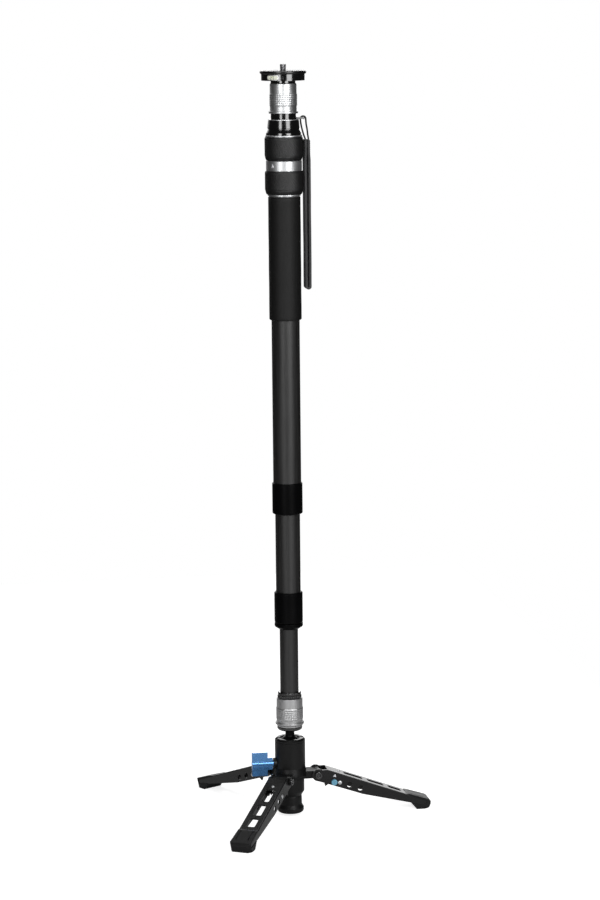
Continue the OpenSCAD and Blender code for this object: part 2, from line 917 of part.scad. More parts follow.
module lower_spigot() {
    step_z = serrated_z + serrated_h / 2;
    inner_r = spigot_r;
    crest_r = serrated_d / 2 - 1.2;
    head_room = spigot_z + stem_head_h + 2 * free_gap;
    notch_w = PI * crest_r / serration_count;
    color(black)
        difference() {
            rotate_extrude()
                polygon([
                    [stem_head_d / 2 + free_gap, spigot_z], [inner_r, spigot_z], [inner_r, serrated_z],
                    [serrated_d / 2, serrated_z], [serrated_d / 2, step_z], [crest_r, step_z],
                    [crest_r, serrated_z + serrated_h], [tube_r(4), serrated_z + serrated_h],
                    [tube_r(4), tube_bottom[4]], [0, tube_bottom[4]], [0, head_room],
                    [stem_head_d / 2 + free_gap, head_room]
                ]);
            for (i = [0 : serration_count - 1])
                rotate([0, 0, 360 * i / serration_count])
                    translate([crest_r - 0.9, -notch_w / 2, step_z + 0.6])
                        cube([3, notch_w, serrated_h]);
        }
}

module lower_cap() {
    rim_h = 1.8;
    bore = stem_d / 2 + run_gap;
    bowl_x = bore + 1;
    bowl_w = cap_d / 2 - bowl_x;
    bowl_h = cap_h - rim_h;
    bowl_z = spigot_z - rim_h;
    bowl = [for (a = [-90 : 10 : 0]) [bowl_x + bowl_w * cos(a), bowl_z + bowl_h * sin(a)]];
    color(black)
        rotate_extrude()
            polygon(concat([[bore, cap_z]], bowl, [[cap_d / 2, spigot_z], [bore, spigot_z]]));
}

// Ball joint

module ball_stem() {
    color(black) {
        translate([0, 0, ball_z])
            sphere(r = ball_r);
        translate([0, 0, ball_z])
            cylinder(h = spigot_z + free_gap - ball_z, d = stem_d);
        translate([0, 0, spigot_z + free_gap])
            cylinder(h = stem_head_h, d = stem_head_d);
    }
}

module socket_liner() {
    color(moulded)
        intersection() {
            translate([0, 0, ball_z])
                difference() {
                    sphere(r = liner_r);
                    sphere(r = liner_in_r);
                }
            translate([0, 0, ball_z + liner_bottom])
                cylinder(h = liner_top - liner_bottom, r = 2 * liner_r);
        }
}

module socket_ring() {
    notch_w = 3.4;
    notch_d = 1.4;
    top_z = ring_z + ring_h;
    color(black)
        difference() {
            rotate_extrude()
                polygon([
                    [0, ring_z], [housing_d / 2, ring_z], [housing_d / 2, top_z - ring_bevel],
                    [housing_d / 2 - ring_bevel, top_z], [ring_mouth_r, top_z],
                    [ring_mouth_r - 1, top_z - 1.2], [0, top_z - 1.2]
                ]);
            translate([0, 0, ball_z])
                sphere(r = ball_r + run_gap);
            for (a = [0, 180])
                rotate([0, 0, a])
                    translate([ring_mouth_r, -notch_w / 2, top_z - notch_d])
                        cube([housing_d, notch_w, 2 * notch_d]);
        }
}

module along_knob() {
    translate([0, 0, knob_z])
        rotate([0, -90, 0])
            children();
}

module base_housing() {
    edge = 0.4;
    color(black)
        difference() {
            union() {
                rotate_extrude()
                    polygon([
                        [0, housing_z], [housing_d / 2, housing_z], [housing_d / 2, ring_z - edge],
                        [housing_d / 2 - edge, ring_z], [0, ring_z]
                    ]);
                along_knob()
                    translate([0, 0, shoe_out])
                        cylinder(h = boss_face - shoe_out, r = boss_r);
            }
            translate([0, 0, ball_z])
                sphere(r = socket_r);
            translate([0, 0, ball_z])
                cylinder(h = housing_h, r = socket_r);
            along_knob()
                translate([0, 0, shoe_in - shoe_end_gap])
                    cylinder(h = shoe_out - shoe_in + shoe_end_gap, d = shoe_d + 2 * run_gap);
            along_knob()
                cylinder(h = housing_d, d = lock_screw_d + 2 * run_gap);
        }
}

module brake_shoe() {
    color(bronze)
        difference() {
            along_knob()
                translate([0, 0, shoe_in])
                    cylinder(h = shoe_out - shoe_in, d = shoe_d);
            translate([0, 0, ball_z])
                sphere(r = socket_r + run_gap);
        }
}

module lock_screw() {
    color(steel)
        along_knob()
            translate([0, 0, shoe_out + screw_tip_gap])
                cylinder(h = wing_x + wing_len / 2 - shoe_out, d = lock_screw_d);
}

module lock_knob() {
    edge = 0.8;
    tab_gap = 1;
    tab_inset = 0.2;
    tab_from = hub_x + tab_gap;
    tab_to = wing_x + 2 * edge;
    color(blue)
        difference() {
            union() {
                along_knob()
                    translate([0, 0, hub_x])
                        cylinder(h = neck_len + wing_len, d = barrel_d);
                translate([-(tab_from + tab_to) / 2, wing_t / 2 - tab_inset, knob_z])
                    rotate([90, 0, 0])
                        linear_extrude(wing_t - 2 * tab_inset)
                            rounded_rect(tab_to - tab_from, tab_span, edge);
                translate([-wing_x - wing_len / 2, wing_t / 2, knob_z])
                    rotate([90, 0, 0])
                        linear_extrude(wing_t)
                            rounded_rect(wing_len, wing_span, edge);
            }
            along_knob()
                translate([0, 0, hub_x - 1])
                    cylinder(h = wing_x + wing_len / 2 - hub_x + 1 + screw_tip_gap, d = lock_screw_d);
        }
}

// Leg crown, centre foot and pivot bolts

module at_legs() {
    for (angle = leg_angles)
        rotate([0, 0, angle])
            translate([pivot_r, 0, pivot_z])
                children();
}

module leg_crown() {
    arm_z = crown_z - pivot_z;
    root_r = boss_d / 2 - 2;
    stud_r = 6;
    rim_h = 3;
    color(black)
        difference() {
            union() {
                rotate_extrude()
                    polygon([
                        [0, crown_z], [boss_d / 2, crown_z], [boss_d / 2, crown_z + rim_h],
                        [skirt_d / 2 - 0.6, crown_z + rim_h], [skirt_d / 2, crown_z + rim_h + 0.6],
                        [skirt_d / 2, crown_z + rim_h + 2], [housing_d / 2, housing_z], [0, housing_z]
                    ]);
                at_legs()
                    translate([0, arm_w / 2, 0])
                        rotate([90, 0, 0])
                            linear_extrude(arm_w) {
                                translate([root_r - pivot_r, arm_z])
                                    square([pivot_r - root_r - 2, arm_h]);
                                polygon([
                                    [-4, arm_z], [-4, arm_z + arm_h], [-2, arm_z + arm_h],
                                    [0, arm_eye_d / 2], [0, -arm_eye_d / 2]
                                ]);
                                circle(d = arm_eye_d);
                            }
            }
            at_legs()
                translate([0, arm_w, 0])
                    rotate([90, 0, 0])
                        cylinder(h = 2 * arm_w, d = pivot_d);
            translate([0, 0, crown_z - 1])
                cylinder(h = crown_h - 2, r = stud_r);
            along_knob()
                translate([0, 0, shoe_in - shoe_end_gap])
                    cylinder(h = shoe_out - shoe_in + shoe_end_gap, d = shoe_d + 2 * run_gap);
            along_knob()
                translate([0, 0, shoe_out])
                    cylinder(h = boss_face, r = boss_r);
        }
}

module foot_boss() {
    stud_r = 6;
    neck_taper = 4;
    color(black)
        rotate_extrude()
            polygon([
                [0, foot_h / 3], [stud_r - 1, foot_h / 3], [stud_r - 1, foot_h],
                [foot_waist_d / 2, foot_h], [foot_waist_d / 2, foot_h + 1],
                [boss_d / 2, foot_h + 1 + neck_taper], [boss_d / 2, crown_z],
                [stud_r, crown_z], [stud_r, crown_z + crown_h - 3], [0, crown_z + crown_h - 3]
            ]);
}

module centre_foot() {
    stud_r = 6;
    waist_r = foot_waist_d / 2;
    flare_r = foot_d / 2;
    color(rubber)
        rotate_extrude()
            difference() {
                union() {
                    polygon([
                        [0, 0], [flare_r - 3, 0], [flare_r, 3], [flare_r, 5.4], [waist_r, 8.6],
                        [waist_r, foot_h], [0, foot_h]
                    ]);
                    translate([flare_r - 3, 3])
                        intersection() {
                            circle(r = 3);
                            translate([0, -3])
                                square(3);
                        }
                }
                translate([-1, foot_h / 3])
                    square([stud_r, foot_h]);
            }
}

module leg_pivot_bolts() {
    half = leg_w / 2 + head_gap;
    color(steel)
        at_legs()
            rotate([90, 0, 0]) {
                translate([0, 0, -half])
                    cylinder(h = 2 * half, d = pivot_d);
                for (z = [half, -half - pivot_head_t])
                    translate([0, 0, z])
                        cylinder(h = pivot_head_t, d = pivot_head_d);
            }
}

// Folding legs, each drawn along +X from its pivot and then sloped and turned to its place

module place_leg(i) {
    rotate([0, 0, leg_angles[i]])
        translate([pivot_r, 0, pivot_z])
            rotate([0, leg_slope, 0])
                children();
}

function leg_half_w(x) = (leg_w + (leg_tip_w - leg_w) * x / leg_len) / 2;

module side_cut(half) {
    translate([0, half, 0])
        rotate([90, 0, 0])
            linear_extrude(2 * half)
                children();
}

module leg_plan(inset) {
    reach = 3 * ear_r;
    near = leg_half_w(-reach) - inset;
    far = leg_half_w(leg_len + reach) - inset;
    translate([0, 0, -2 * leg_w])
        linear_extrude(4 * leg_w)
            polygon([[-reach, -near], [leg_len + reach, -far], [leg_len + reach, far], [-reach, near]]);
}

module leg_side() {
    ear = [for (a = [-75 : -12.5 : -287.5]) ear_r * [cos(a), sin(a)]];
    back = [
        [top_wall_from, leg_rise], [leg_len, leg_rise], [leg_len, leg_low_tip], [leg_mid_x, leg_low_mid],
        [pawl_x + pawl_w / 2, leg_low_near], [pawl_x, leg_low_near - pawl_drop],
        [pawl_x - pawl_w / 2, leg_low_near]
    ];
    polygon(concat(back, ear));
}

module leg_channel() {
    end_wall = leg_wall;
    difference() {
        intersection() {
            side_cut(leg_tip_w)
                leg_side();
            leg_plan(0);
        }
        intersection() {
            side_cut(leg_tip_w)
                polygon([
                    [-leg_w, -2 * leg_w], [leg_len - end_wall, -2 * leg_w],
                    [leg_len - end_wall, leg_rise - leg_wall], [top_wall_from, leg_rise - leg_wall],
                    [top_wall_from, 2 * leg_w], [-leg_w, 2 * leg_w]
                ]);
            leg_plan(leg_wall);
        }
        for (w = windows)
            translate([w[0] + w[1] / 2, 0, leg_rise - 2 * leg_wall])
                linear_extrude(3 * leg_wall)
                    rounded_rect(w[1], window_w, window_round);
        translate([top_hole_x, 0, 0])
            cylinder(h = 2 * leg_rise, d = top_hole_d);
        side_cut(leg_tip_w)
            for (x = side_holes)
                translate([x, 0])
                    circle(d = side_hole_d);
        side_cut(leg_tip_w)
            circle(d = pivot_d + 2 * run_gap);
        translate([button_x, 0, button_z])
            rotate([90, 0, 0])
                cylinder(h = leg_w, d = button_d + 2 * run_gap);
    }
}

function leg_low(x) = leg_low_mid + (leg_low_tip - leg_low_mid) * (x - leg_mid_x) / (leg_len - leg_mid_x);

// Rubber boot hooked round the tip of a leg, cut flat where it stands on the ground
module leg_boot() {
    start = leg_len + leg_foot_end - leg_foot_len;
    stop = leg_len + leg_foot_end;
    top = leg_rise + leg_foot_lip;
    sole_start = stop - 12.8;
    sole_z = -(sole_drop - sole_start * sin(leg_slope)) / cos(leg_slope);
    sole_end_z = -(sole_drop - (stop - 1) * sin(leg_slope)) / cos(leg_slope);
    heel_x = sole_start - 8.3;
    inner = stop - 5;
    inner_top = leg_rise - leg_foot_grip;
    inner_low = leg_low(inner) + leg_foot_grip;
    difference() {
        intersection() {
            side_cut(leg_foot_w / 2)
                polygon([
                    [start, inner_top], [start, leg_rise + 0.5], [start + 2.4, top], [stop - 3.5, top],
                    [stop - 1, top - 1.8], [stop, top - 4.5], [stop, sole_end_z + 2],
                    [stop - 1, sole_end_z], [sole_start, sole_z], [heel_x, leg_low(heel_x)],
                    [heel_x + 1, leg_low(heel_x) + leg_foot_grip], [inner - leg_foot_round, inner_low],
                    [inner, inner_low + leg_foot_round], [inner, inner_top - leg_foot_round],
                    [inner - leg_foot_round, inner_top]
                ]);
            translate([0, 0, -leg_w])
                linear_extrude(3 * leg_w)
                    polygon([
                        [start, -leg_foot_w / 2 + 0.5], [stop - 5, -leg_foot_w / 2],
                        [stop, -leg_foot_w / 2 + 3.5], [stop, leg_foot_w / 2 - 3.5],
                        [stop - 5, leg_foot_w / 2], [start, leg_foot_w / 2 - 0.5]
                    ]);
        }
        intersection() {
            side_cut(leg_tip_w)
                leg_side();
            leg_plan(0);
        }
    }
}

module leg_button() {
    wall_out = leg_half_w(button_x);
    wall_in = wall_out - leg_wall;
    flange_y = wall_in - free_gap;
    translate([button_x, 0, button_z])
        rotate([90, 0, 0]) {
            translate([0, 0, flange_y - button_flange_t])
                cylinder(h = button_flange_t, d = button_flange_d);
            translate([0, 0, flange_y - button_flange_t])
                cylinder(h = wall_out + button_proud - flange_y + button_flange_t, d = button_d);
            translate([0, 0, -1])
                cylinder(h = flange_y, d = button_stem_d);
        }
}

// Return spring between a button's flange and the far wall, as one coil of wire
spring_from = -(leg_half_w(button_x) - leg_wall - free_gap - button_flange_t - spring_wire / 2 - spring_gap);
spring_to = leg_half_w(button_x) - leg_wall - spring_wire / 2 - spring_gap;
spring_steps = 8 * spring_coils;
spring_route = [
    for (i = [0 : spring_steps])
        let (a = 360 * spring_coils * i / spring_steps)
        [
            button_x + spring_r * cos(a), spring_from + (spring_to - spring_from) * i / spring_steps,
            button_z + spring_r * sin(a)
        ]
];
echo(spring_least_gap = (spring_to - spring_from) / spring_coils - spring_wire);

module leg_spring() {
    swept_tube(spring_route, spring_wire / 2, 6, [0, 1, 0]);
}

module leg_1() {
    color(black)
        place_leg(0)
            leg_channel();
}

module leg_2() {
    color(black)
        place_leg(1)
            leg_channel();
}

module leg_3() {
    color(black)
        place_leg(2)
            leg_channel();
}

module leg_foot_1() {
    color(rubber)
        place_leg(0)
            leg_boot();
}

module leg_foot_2() {
    color(rubber)
        place_leg(1)
            leg_boot();
}

module leg_foot_3() {
    color(rubber)
        place_leg(2)
            leg_boot();
}

module leg_button_1() {
    color(blue)
        place_leg(0)
            leg_button();
}

module leg_button_2() {
    color(blue)
        place_leg(1)
            leg_button();
}

module leg_button_3() {
    color(blue)
        place_leg(2)
            leg_button();
}

module leg_spring_1() {
    color(steel)
        place_leg(0)
            leg_spring();
}

module leg_spring_2() {
    color(steel)
        place_leg(1)
            leg_spring();
}

module leg_spring_3() {
    color(steel)
        place_leg(2)
            leg_spring();
}

camera_screw();
plate_pad();
camera_plate();
level_bezel();
level_vial();
plate_set_screw();
upper_lock_collar();
shoulder_cone();
strap_lug();
strap_cord();
strap_webbing();
twist_rubber();
twist_ring();
drive_pin();
drive_rod();
handle_sleeve();
hold_rubber();
grip_trim_ring();
foam_grip();
tube_1();
collar_1();
tube_2();
collar_2();
brake_bush_2();
lock_cone_2();
drive_tube_2();
tube_3();
end_ring_3();
brake_bush_3();
lock_cone_3();
drive_tube_3();
tube_4();
brake_bush_4();
lock_cone_4();
lower_spigot();
lower_lock_collar();
lower_cap();
ball_stem();
socket_liner();
socket_ring();
base_housing();
brake_shoe();
lock_knob();
lock_screw();
leg_crown();
leg_pivot_bolts();
foot_boss();
centre_foot();
leg_1();
leg_2();
leg_3();
leg_foot_1();
leg_foot_2();
leg_foot_3();
leg_button_1();
leg_button_2();
leg_button_3();
leg_spring_1();
leg_spring_2();
leg_spring_3();
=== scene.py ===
"""Looks of the camera monopod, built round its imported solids, in metres with +Z up the pole."""
import json
import math

import bpy
from mathutils import Matrix, Vector


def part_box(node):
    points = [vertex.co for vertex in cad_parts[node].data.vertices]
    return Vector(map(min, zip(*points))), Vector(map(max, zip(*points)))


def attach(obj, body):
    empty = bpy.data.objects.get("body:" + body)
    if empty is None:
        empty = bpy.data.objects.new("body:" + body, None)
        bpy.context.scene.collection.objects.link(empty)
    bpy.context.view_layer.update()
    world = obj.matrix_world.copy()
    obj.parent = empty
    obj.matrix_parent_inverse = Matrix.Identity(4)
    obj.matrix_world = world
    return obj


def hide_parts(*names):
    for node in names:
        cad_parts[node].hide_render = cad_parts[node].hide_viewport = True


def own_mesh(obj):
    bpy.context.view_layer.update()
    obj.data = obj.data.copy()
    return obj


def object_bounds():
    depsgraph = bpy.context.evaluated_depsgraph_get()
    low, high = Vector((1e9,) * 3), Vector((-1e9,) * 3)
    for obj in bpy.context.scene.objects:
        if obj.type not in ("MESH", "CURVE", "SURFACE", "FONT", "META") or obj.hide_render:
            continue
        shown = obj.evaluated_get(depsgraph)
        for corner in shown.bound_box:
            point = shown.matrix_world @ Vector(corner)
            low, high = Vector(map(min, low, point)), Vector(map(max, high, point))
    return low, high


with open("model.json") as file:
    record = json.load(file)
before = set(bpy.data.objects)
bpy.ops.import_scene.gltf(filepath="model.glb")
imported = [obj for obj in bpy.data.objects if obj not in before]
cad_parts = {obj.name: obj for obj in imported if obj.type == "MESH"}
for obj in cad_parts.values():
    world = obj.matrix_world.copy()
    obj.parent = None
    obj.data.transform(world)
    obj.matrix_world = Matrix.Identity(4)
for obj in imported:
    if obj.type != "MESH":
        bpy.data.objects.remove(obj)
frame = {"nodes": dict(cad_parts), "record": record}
cad_low, cad_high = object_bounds()
MM = 0.001
BODIES = frame["record"]["behaviour"]["bodies"]
BODY_OF = {node: body for body, nodes in BODIES.items() for node in nodes}
SLOT_OF = {row["node"]: row["material_slot"] for row in frame["record"]["subparts"]}

# Camera: a long lens from a little above the plate.
LENS = 116.0
CAMERA_PLACE = Vector((-0.4730, -2.8267, 0.838))
CAMERA_PITCH = 9.2
CAMERA_YAW = -9.5
CAMERA_ROLL = -0.6
CAMERA_SHIFT = 0.0145

camera_data = bpy.data.cameras.new("camera")
camera_data.lens = LENS
camera_data.sensor_width = 36.0
camera_data.sensor_fit = "AUTO"
camera_data.shift_x = CAMERA_SHIFT
camera_data.clip_end = 50.0
camera = bpy.data.objects.new("camera", camera_data)
bpy.context.scene.collection.objects.link(camera)
turn = Matrix.Rotation(math.radians(CAMERA_YAW), 4, "Z")
turn = turn @ Matrix.Rotation(math.radians(90.0 - CAMERA_PITCH), 4, "X")
turn = turn @ Matrix.Rotation(math.radians(CAMERA_ROLL), 4, "Z")
camera.matrix_world = Matrix.Translation(CAMERA_PLACE) @ turn
bpy.context.scene.camera = camera
bpy.context.scene.view_settings.view_transform = "Standard"


# Modelling helpers

def deselect():
    """Nothing is selected, so that what follows acts on the new piece alone."""
    bpy.ops.object.select_all(action="DESELECT")


def activate(piece):
    """Only this piece is selected, and it is the active one."""
    deselect()
    piece.select_set(True)
    bpy.context.view_layer.objects.active = piece


def soften(piece, width, angle=30.0, segments=2):
    """Rounds the sharp edges by a width in millimetres and smooths what is left."""
    activate(piece)
    if width > 0.0:
        edges = piece.modifiers.new("edges", "BEVEL")
        edges.width = width * MM
        edges.segments = segments
        edges.limit_method = "ANGLE"
        edges.angle_limit = math.radians(angle)
        bpy.ops.object.modifier_apply(modifier=edges.name)
    bpy.ops.object.shade_smooth_by_angle(angle=math.radians(angle))
    if width > 0.0:
        faces = piece.modifiers.new("even faces", "WEIGHTED_NORMAL")
        faces.keep_sharp = True
        bpy.ops.object.modifier_apply(modifier=faces.name)
    return piece


def turned(name, section, edge=0.15, steps=144, angle=24.0):
    """Turns a closed half section of (radius, height) points in millimetres round the pole's axis."""
    deselect()
    bpy.ops.mesh.primitive_circle_add(vertices=len(section), radius=0.01)
    piece = bpy.context.object
    piece.name = name
    for vertex, (radius, height) in zip(piece.data.vertices, section):
        vertex.co = (radius * MM, 0.0, height * MM)
    bpy.ops.object.mode_set(mode="EDIT")
    bpy.ops.mesh.select_all(action="SELECT")
    bpy.ops.mesh.spin(steps=steps, angle=math.tau, center=(0.0, 0.0, 0.0), axis=(0.0, 0.0, 1.0))
    bpy.ops.mesh.select_all(action="SELECT")
    bpy.ops.mesh.remove_doubles(threshold=0.000002)
    bpy.ops.mesh.delete_loose(use_verts=True, use_edges=True, use_faces=False)
    bpy.ops.mesh.select_all(action="SELECT")
    bpy.ops.mesh.normals_make_consistent(inside=False)
    bpy.ops.object.mode_set(mode="OBJECT")
    return soften(piece, edge, angle)


def machined(node, edge=0.2, angle=30.0, segments=2):
    """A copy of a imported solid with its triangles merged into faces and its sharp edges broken."""
    activate(frame["nodes"][node])
    bpy.ops.object.duplicate()
    piece = bpy.context.object
    piece.name = node + "_machined"
    piece.parent = None
    for key in list(piece.keys()):
        del piece[key]
    bpy.ops.mesh.customdata_custom_splitnormals_clear()
    bpy.ops.object.mode_set(mode="EDIT")
    bpy.ops.mesh.select_all(action="SELECT")
    bpy.ops.mesh.remove_doubles(threshold=0.000002)
    bpy.ops.mesh.select_all(action="SELECT")
    bpy.ops.mesh.dissolve_limited(angle_limit=math.radians(0.4))
    bpy.ops.object.mode_set(mode="OBJECT")
    return soften(piece, edge, angle, segments)


def dress(piece, node, finish, replace=True):
    """Gives a piece its finish, the body it rides on and the solid it stands for."""
    piece.data.materials.clear()
    piece.data.materials.append(finish)
    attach(piece, BODY_OF[node])
    if replace:
        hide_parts(node)
    return piece


def joined(name, *pieces):
    """Several meshes as one piece."""
    activate(pieces[0])
    for piece in pieces[1:]:
        piece.select_set(True)
    if len(pieces) > 1:
        bpy.ops.object.join()
    bpy.context.object.name = name
    return bpy.context.object


def span(node):
    """Lower end, upper end and outer radius of a round solid, in millimetres."""
    low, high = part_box(node)
    return low[2] / MM, high[2] / MM, high[1] / MM


def banded(name, radius, bottom, top, columns, rows, height_at):
    """A thin round band of a fine grid, with each point set out by height_at(turn, share of height)."""
    deselect()
    bpy.ops.mesh.primitive_circle_add(vertices=columns, radius=radius * MM)
    piece = bpy.context.object
    piece.name = name
    bpy.ops.object.mode_set(mode="EDIT")
    bpy.ops.mesh.select_all(action="SELECT")
    bpy.ops.transform.translate(value=(0.0, 0.0, bottom * MM))
    rise = (top - bottom) * MM / rows
    for _ in range(rows):
        bpy.ops.mesh.extrude_region_move(TRANSFORM_OT_translate={"value": (0.0, 0.0, rise)})
    bpy.ops.mesh.select_all(action="SELECT")
    bpy.ops.mesh.normals_make_consistent(inside=False)
    bpy.ops.object.mode_set(mode="OBJECT")
    for vertex in piece.data.vertices:
        about = math.atan2(vertex.co.y, vertex.co.x)
        share = (vertex.co.z / MM - bottom) / (top - bottom)
        out = (radius + height_at(about, share)) * MM
        vertex.co.x = out * math.cos(about)
        vertex.co.y = out * math.sin(about)
    activate(piece)
    return piece


def arc(centre, radius, first, last, steps):
    """Points on an arc round a centre, from one angle to another in degrees."""
    points = []
    for step in range(steps + 1):
        angle = math.radians(first + (last - first) * step / steps)
        points.append((centre[0] + radius * math.cos(angle), centre[1] + radius * math.sin(angle)))
    return points


def shaped(stretch, place):
    """Stretches the new primitive about its middle and moves it by a place in millimetres."""
    bpy.ops.object.mode_set(mode="EDIT")
    bpy.ops.mesh.select_all(action="SELECT")
    bpy.ops.transform.resize(value=tuple(stretch))
    bpy.ops.transform.translate(value=tuple(Vector(place) * MM))
    bpy.ops.object.mode_set(mode="OBJECT")
    return bpy.context.object


def dome(radius, stretch, segments=20, rings=10, place=(0.0, 0.0, 0.0)):
    """A ball, pressed flatter or drawn out."""
    deselect()
    bpy.ops.mesh.primitive_uv_sphere_add(segments=segments, ring_count=rings, radius=radius * MM)
    return shaped(stretch, place)


def block(size, place):
    """A plain block, to cut with or to copy."""
    deselect()
    bpy.ops.mesh.primitive_cube_add(size=1.0)
    return shaped(Vector(size) * MM, place)


ARROW_DEPTH = 0.1


def arrowhead(radius, squeeze):
    """A thin plain arrowhead at the origin, standing square to y."""
    deselect()
    bpy.ops.mesh.primitive_cylinder_add(vertices=3, radius=radius * MM, depth=ARROW_DEPTH * MM)
    arrow = shaped((squeeze, 1.0, 1.0), (0.0, 0.0, 0.0))
    arrow.data.transform(Matrix.Rotation(math.radians(90.0), 4, "X"))
    return arrow


def copied(first, place):
    """A copy with its own mesh, which is moved by the matrix place."""
    piece = first.copy()
    piece.data = first.data.copy()
    bpy.context.scene.collection.objects.link(piece)
    piece.data.transform(place)
    return piece


def cut_away(piece, cutter):
    """Takes the cutter's shape out of a piece."""
    activate(piece)
    cut = piece.modifiers.new("cut", "BOOLEAN")
    cut.operation = "DIFFERENCE"
    cut.object = cutter
    bpy.ops.object.modifier_apply(modifier=cut.name)
    bpy.data.objects.remove(cutter)


# Finishes

def shared_group(name, inputs, outputs):
    """An empty shader group with plain number sockets."""
    tree = bpy.data.node_groups.new(name, "ShaderNodeTree")
    for label, value in inputs.items():
        socket = tree.interface.new_socket(label, in_out="INPUT", socket_type="NodeSocketFloat")
        socket.default_value = value
    for label in outputs:
        tree.interface.new_socket(label, in_out="OUTPUT", socket_type="NodeSocketFloat")
    entry = tree.nodes.new("NodeGroupInput")
    leave = tree.nodes.new("NodeGroupOutput")
    return tree, entry, leave


def maths(tree, kind, first, second=0.0):
    """A maths node; first and second are sockets or numbers."""
    node = tree.nodes.new("ShaderNodeMath")
    node.operation = kind
    for socket, value in zip(node.inputs, (first, second)):
        if isinstance(value, (int, float)):
            socket.default_value = value
        else:
            tree.links.new(value, socket)
    return node.outputs[0]


def stretched(tree, across, along):
    """The piece's own coordinates, scaled across and along the pole."""
    place = tree.nodes.new("ShaderNodeTexCoord")
    scale = tree.nodes.new("ShaderNodeMapping")
    scale.inputs["Scale"].default_value = (across, across, along)
    tree.links.new(place.outputs["Object"], scale.inputs["Vector"])
    return scale.outputs["Vector"]


def noise(tree, vector, scale, detail=3.0, rough=0.5):
    """Soft noise; its scale is a socket or a number."""
    node = tree.nodes.new("ShaderNodeTexNoise")
    node.inputs["Detail"].default_value = detail
    node.inputs["Roughness"].default_value = rough
    tree.links.new(vector, node.inputs["Vector"])
    if isinstance(scale, (int, float)):
        node.inputs["Scale"].default_value = scale
    else:
        tree.links.new(scale, node.inputs["Scale"])
    return node.outputs["Fac"]


RANGE_ENDS = ("From Min", "From Max", "To Min", "To Max")


def ranged(tree, value, low, high, out_low=0.0, out_high=1.0):
    """A value between low and high, set over between two others."""
    node = tree.nodes.new("ShaderNodeMapRange")
    for label, number in zip(RANGE_ENDS, (low, high, out_low, out_high)):
        node.inputs[label].default_value = number
    tree.links.new(value, node.inputs["Value"])
    return node


def smudge_group():
    """Slow changes over a surface, for sheen and shade."""
    tree, entry, leave = shared_group("slow patches", {"Scale": 60.0, "Low": 0.0, "High": 1.0}, ["Value"])
    patches = noise(tree, stretched(tree, 1.0, 1.0), entry.outputs["Scale"], 2.0)
    between = ranged(tree, patches, 0.3, 0.7)
    tree.links.new(entry.outputs["Low"], between.inputs["To Min"])
    tree.links.new(entry.outputs["High"], between.inputs["To Max"])
    tree.links.new(between.outputs["Result"], leave.inputs["Value"])
    return tree


def grain_group():
    """A fine even grain, as on blasted metal or rubber."""
    tree, entry, leave = shared_group("fine grain", {"Scale": 3000.0}, ["Height"])
    fine = noise(tree, stretched(tree, 1.0, 1.0), entry.outputs["Scale"], 2.0)
    tree.links.new(fine, leave.inputs["Height"])
    return tree


def lathe_group():
    """Fine rings left by the turning tool, round the pole's axis."""
    tree, _, leave = shared_group("turning rings", {}, ["Height"])
    rings = noise(tree, stretched(tree, 2.0, 1000.0), 1.0, 2.0)
    fine = noise(tree, stretched(tree, 4.0, 4000.0), 1.0, 1.0)
    both = maths(tree, "ADD", rings, fine)
    tree.links.new(both, leave.inputs["Height"])
    return tree


SMUDGES = smudge_group()
GRAIN = grain_group()
LATHE = lathe_group()


class Finish:
    """A material under way: its tree, its main shader and short ways to link what changes over it."""

    def __init__(self, name, colour, rough, metal=0.0, specular=0.5, ior=1.5, coat=0.0, coat_rough=0.1):
        self.material = bpy.data.materials.new(name)
        self.material.use_nodes = True
        self.tree = self.material.node_tree
        self.shader = self.tree.nodes["Principled BSDF"]
        self.shader.inputs["Base Color"].default_value = (*colour, 1.0)
        self.shader.inputs["Roughness"].default_value = rough
        self.shader.inputs["Metallic"].default_value = metal
        self.shader.inputs["Specular IOR Level"].default_value = specular
        self.shader.inputs["IOR"].default_value = ior
        self.shader.inputs["Coat Weight"].default_value = coat
        self.shader.inputs["Coat Roughness"].default_value = coat_rough
        self.colour = colour

    def use(self, group, **values):
        node = self.tree.nodes.new("ShaderNodeGroup")
        node.node_tree = group
        for label, value in values.items():
            node.inputs[label].default_value = value
        return node.outputs[0]

    def sheen_between(self, low, high, scale=60.0):
        rough = self.use(SMUDGES, Scale=scale, Low=low, High=high)
        self.tree.links.new(rough, self.shader.inputs["Roughness"])

    def shades(self, factor, dark, light):
        mix = self.tree.nodes.new("ShaderNodeMix")
        mix.data_type = "RGBA"
        mix.inputs[6].default_value = (*dark, 1.0)
        mix.inputs[7].default_value = (*light, 1.0)
        self.tree.links.new(factor, mix.inputs[0])
        self.tree.links.new(mix.outputs[2], self.shader.inputs["Base Color"])

    def bumped(self, height, distance):
        bump = self.tree.nodes.new("ShaderNodeBump")
        bump.inputs["Strength"].default_value = 1.0
        bump.inputs["Distance"].default_value = distance
        self.tree.links.new(height, bump.inputs["Height"])
        self.tree.links.new(bump.outputs["Normal"], self.shader.inputs["Normal"])


def plain_shades(finish, spread, scale=40.0):
    """Small slow changes of shade round a finish's own colour."""
    dark = tuple(c * (1.0 - spread) for c in finish.colour)
    light = tuple(c * (1.0 + spread) for c in finish.colour)
    finish.shades(finish.use(SMUDGES, Scale=scale), dark, light)


def metal_finish(name, colour, rough_low, rough_high, rings=0.0, grain=0.0, **more):
    """Metal or lacquer with turning rings or a blasted grain, both as heights in metres."""
    finish = Finish(name, colour, rough_low, **more)
    plain_shades(finish, 0.06)
    finish.sheen_between(rough_low, rough_high)
    if rings > 0.0:
        finish.bumped(finish.use(LATHE), rings)
    if grain > 0.0:
        finish.bumped(finish.use(GRAIN), grain)
    return finish.material


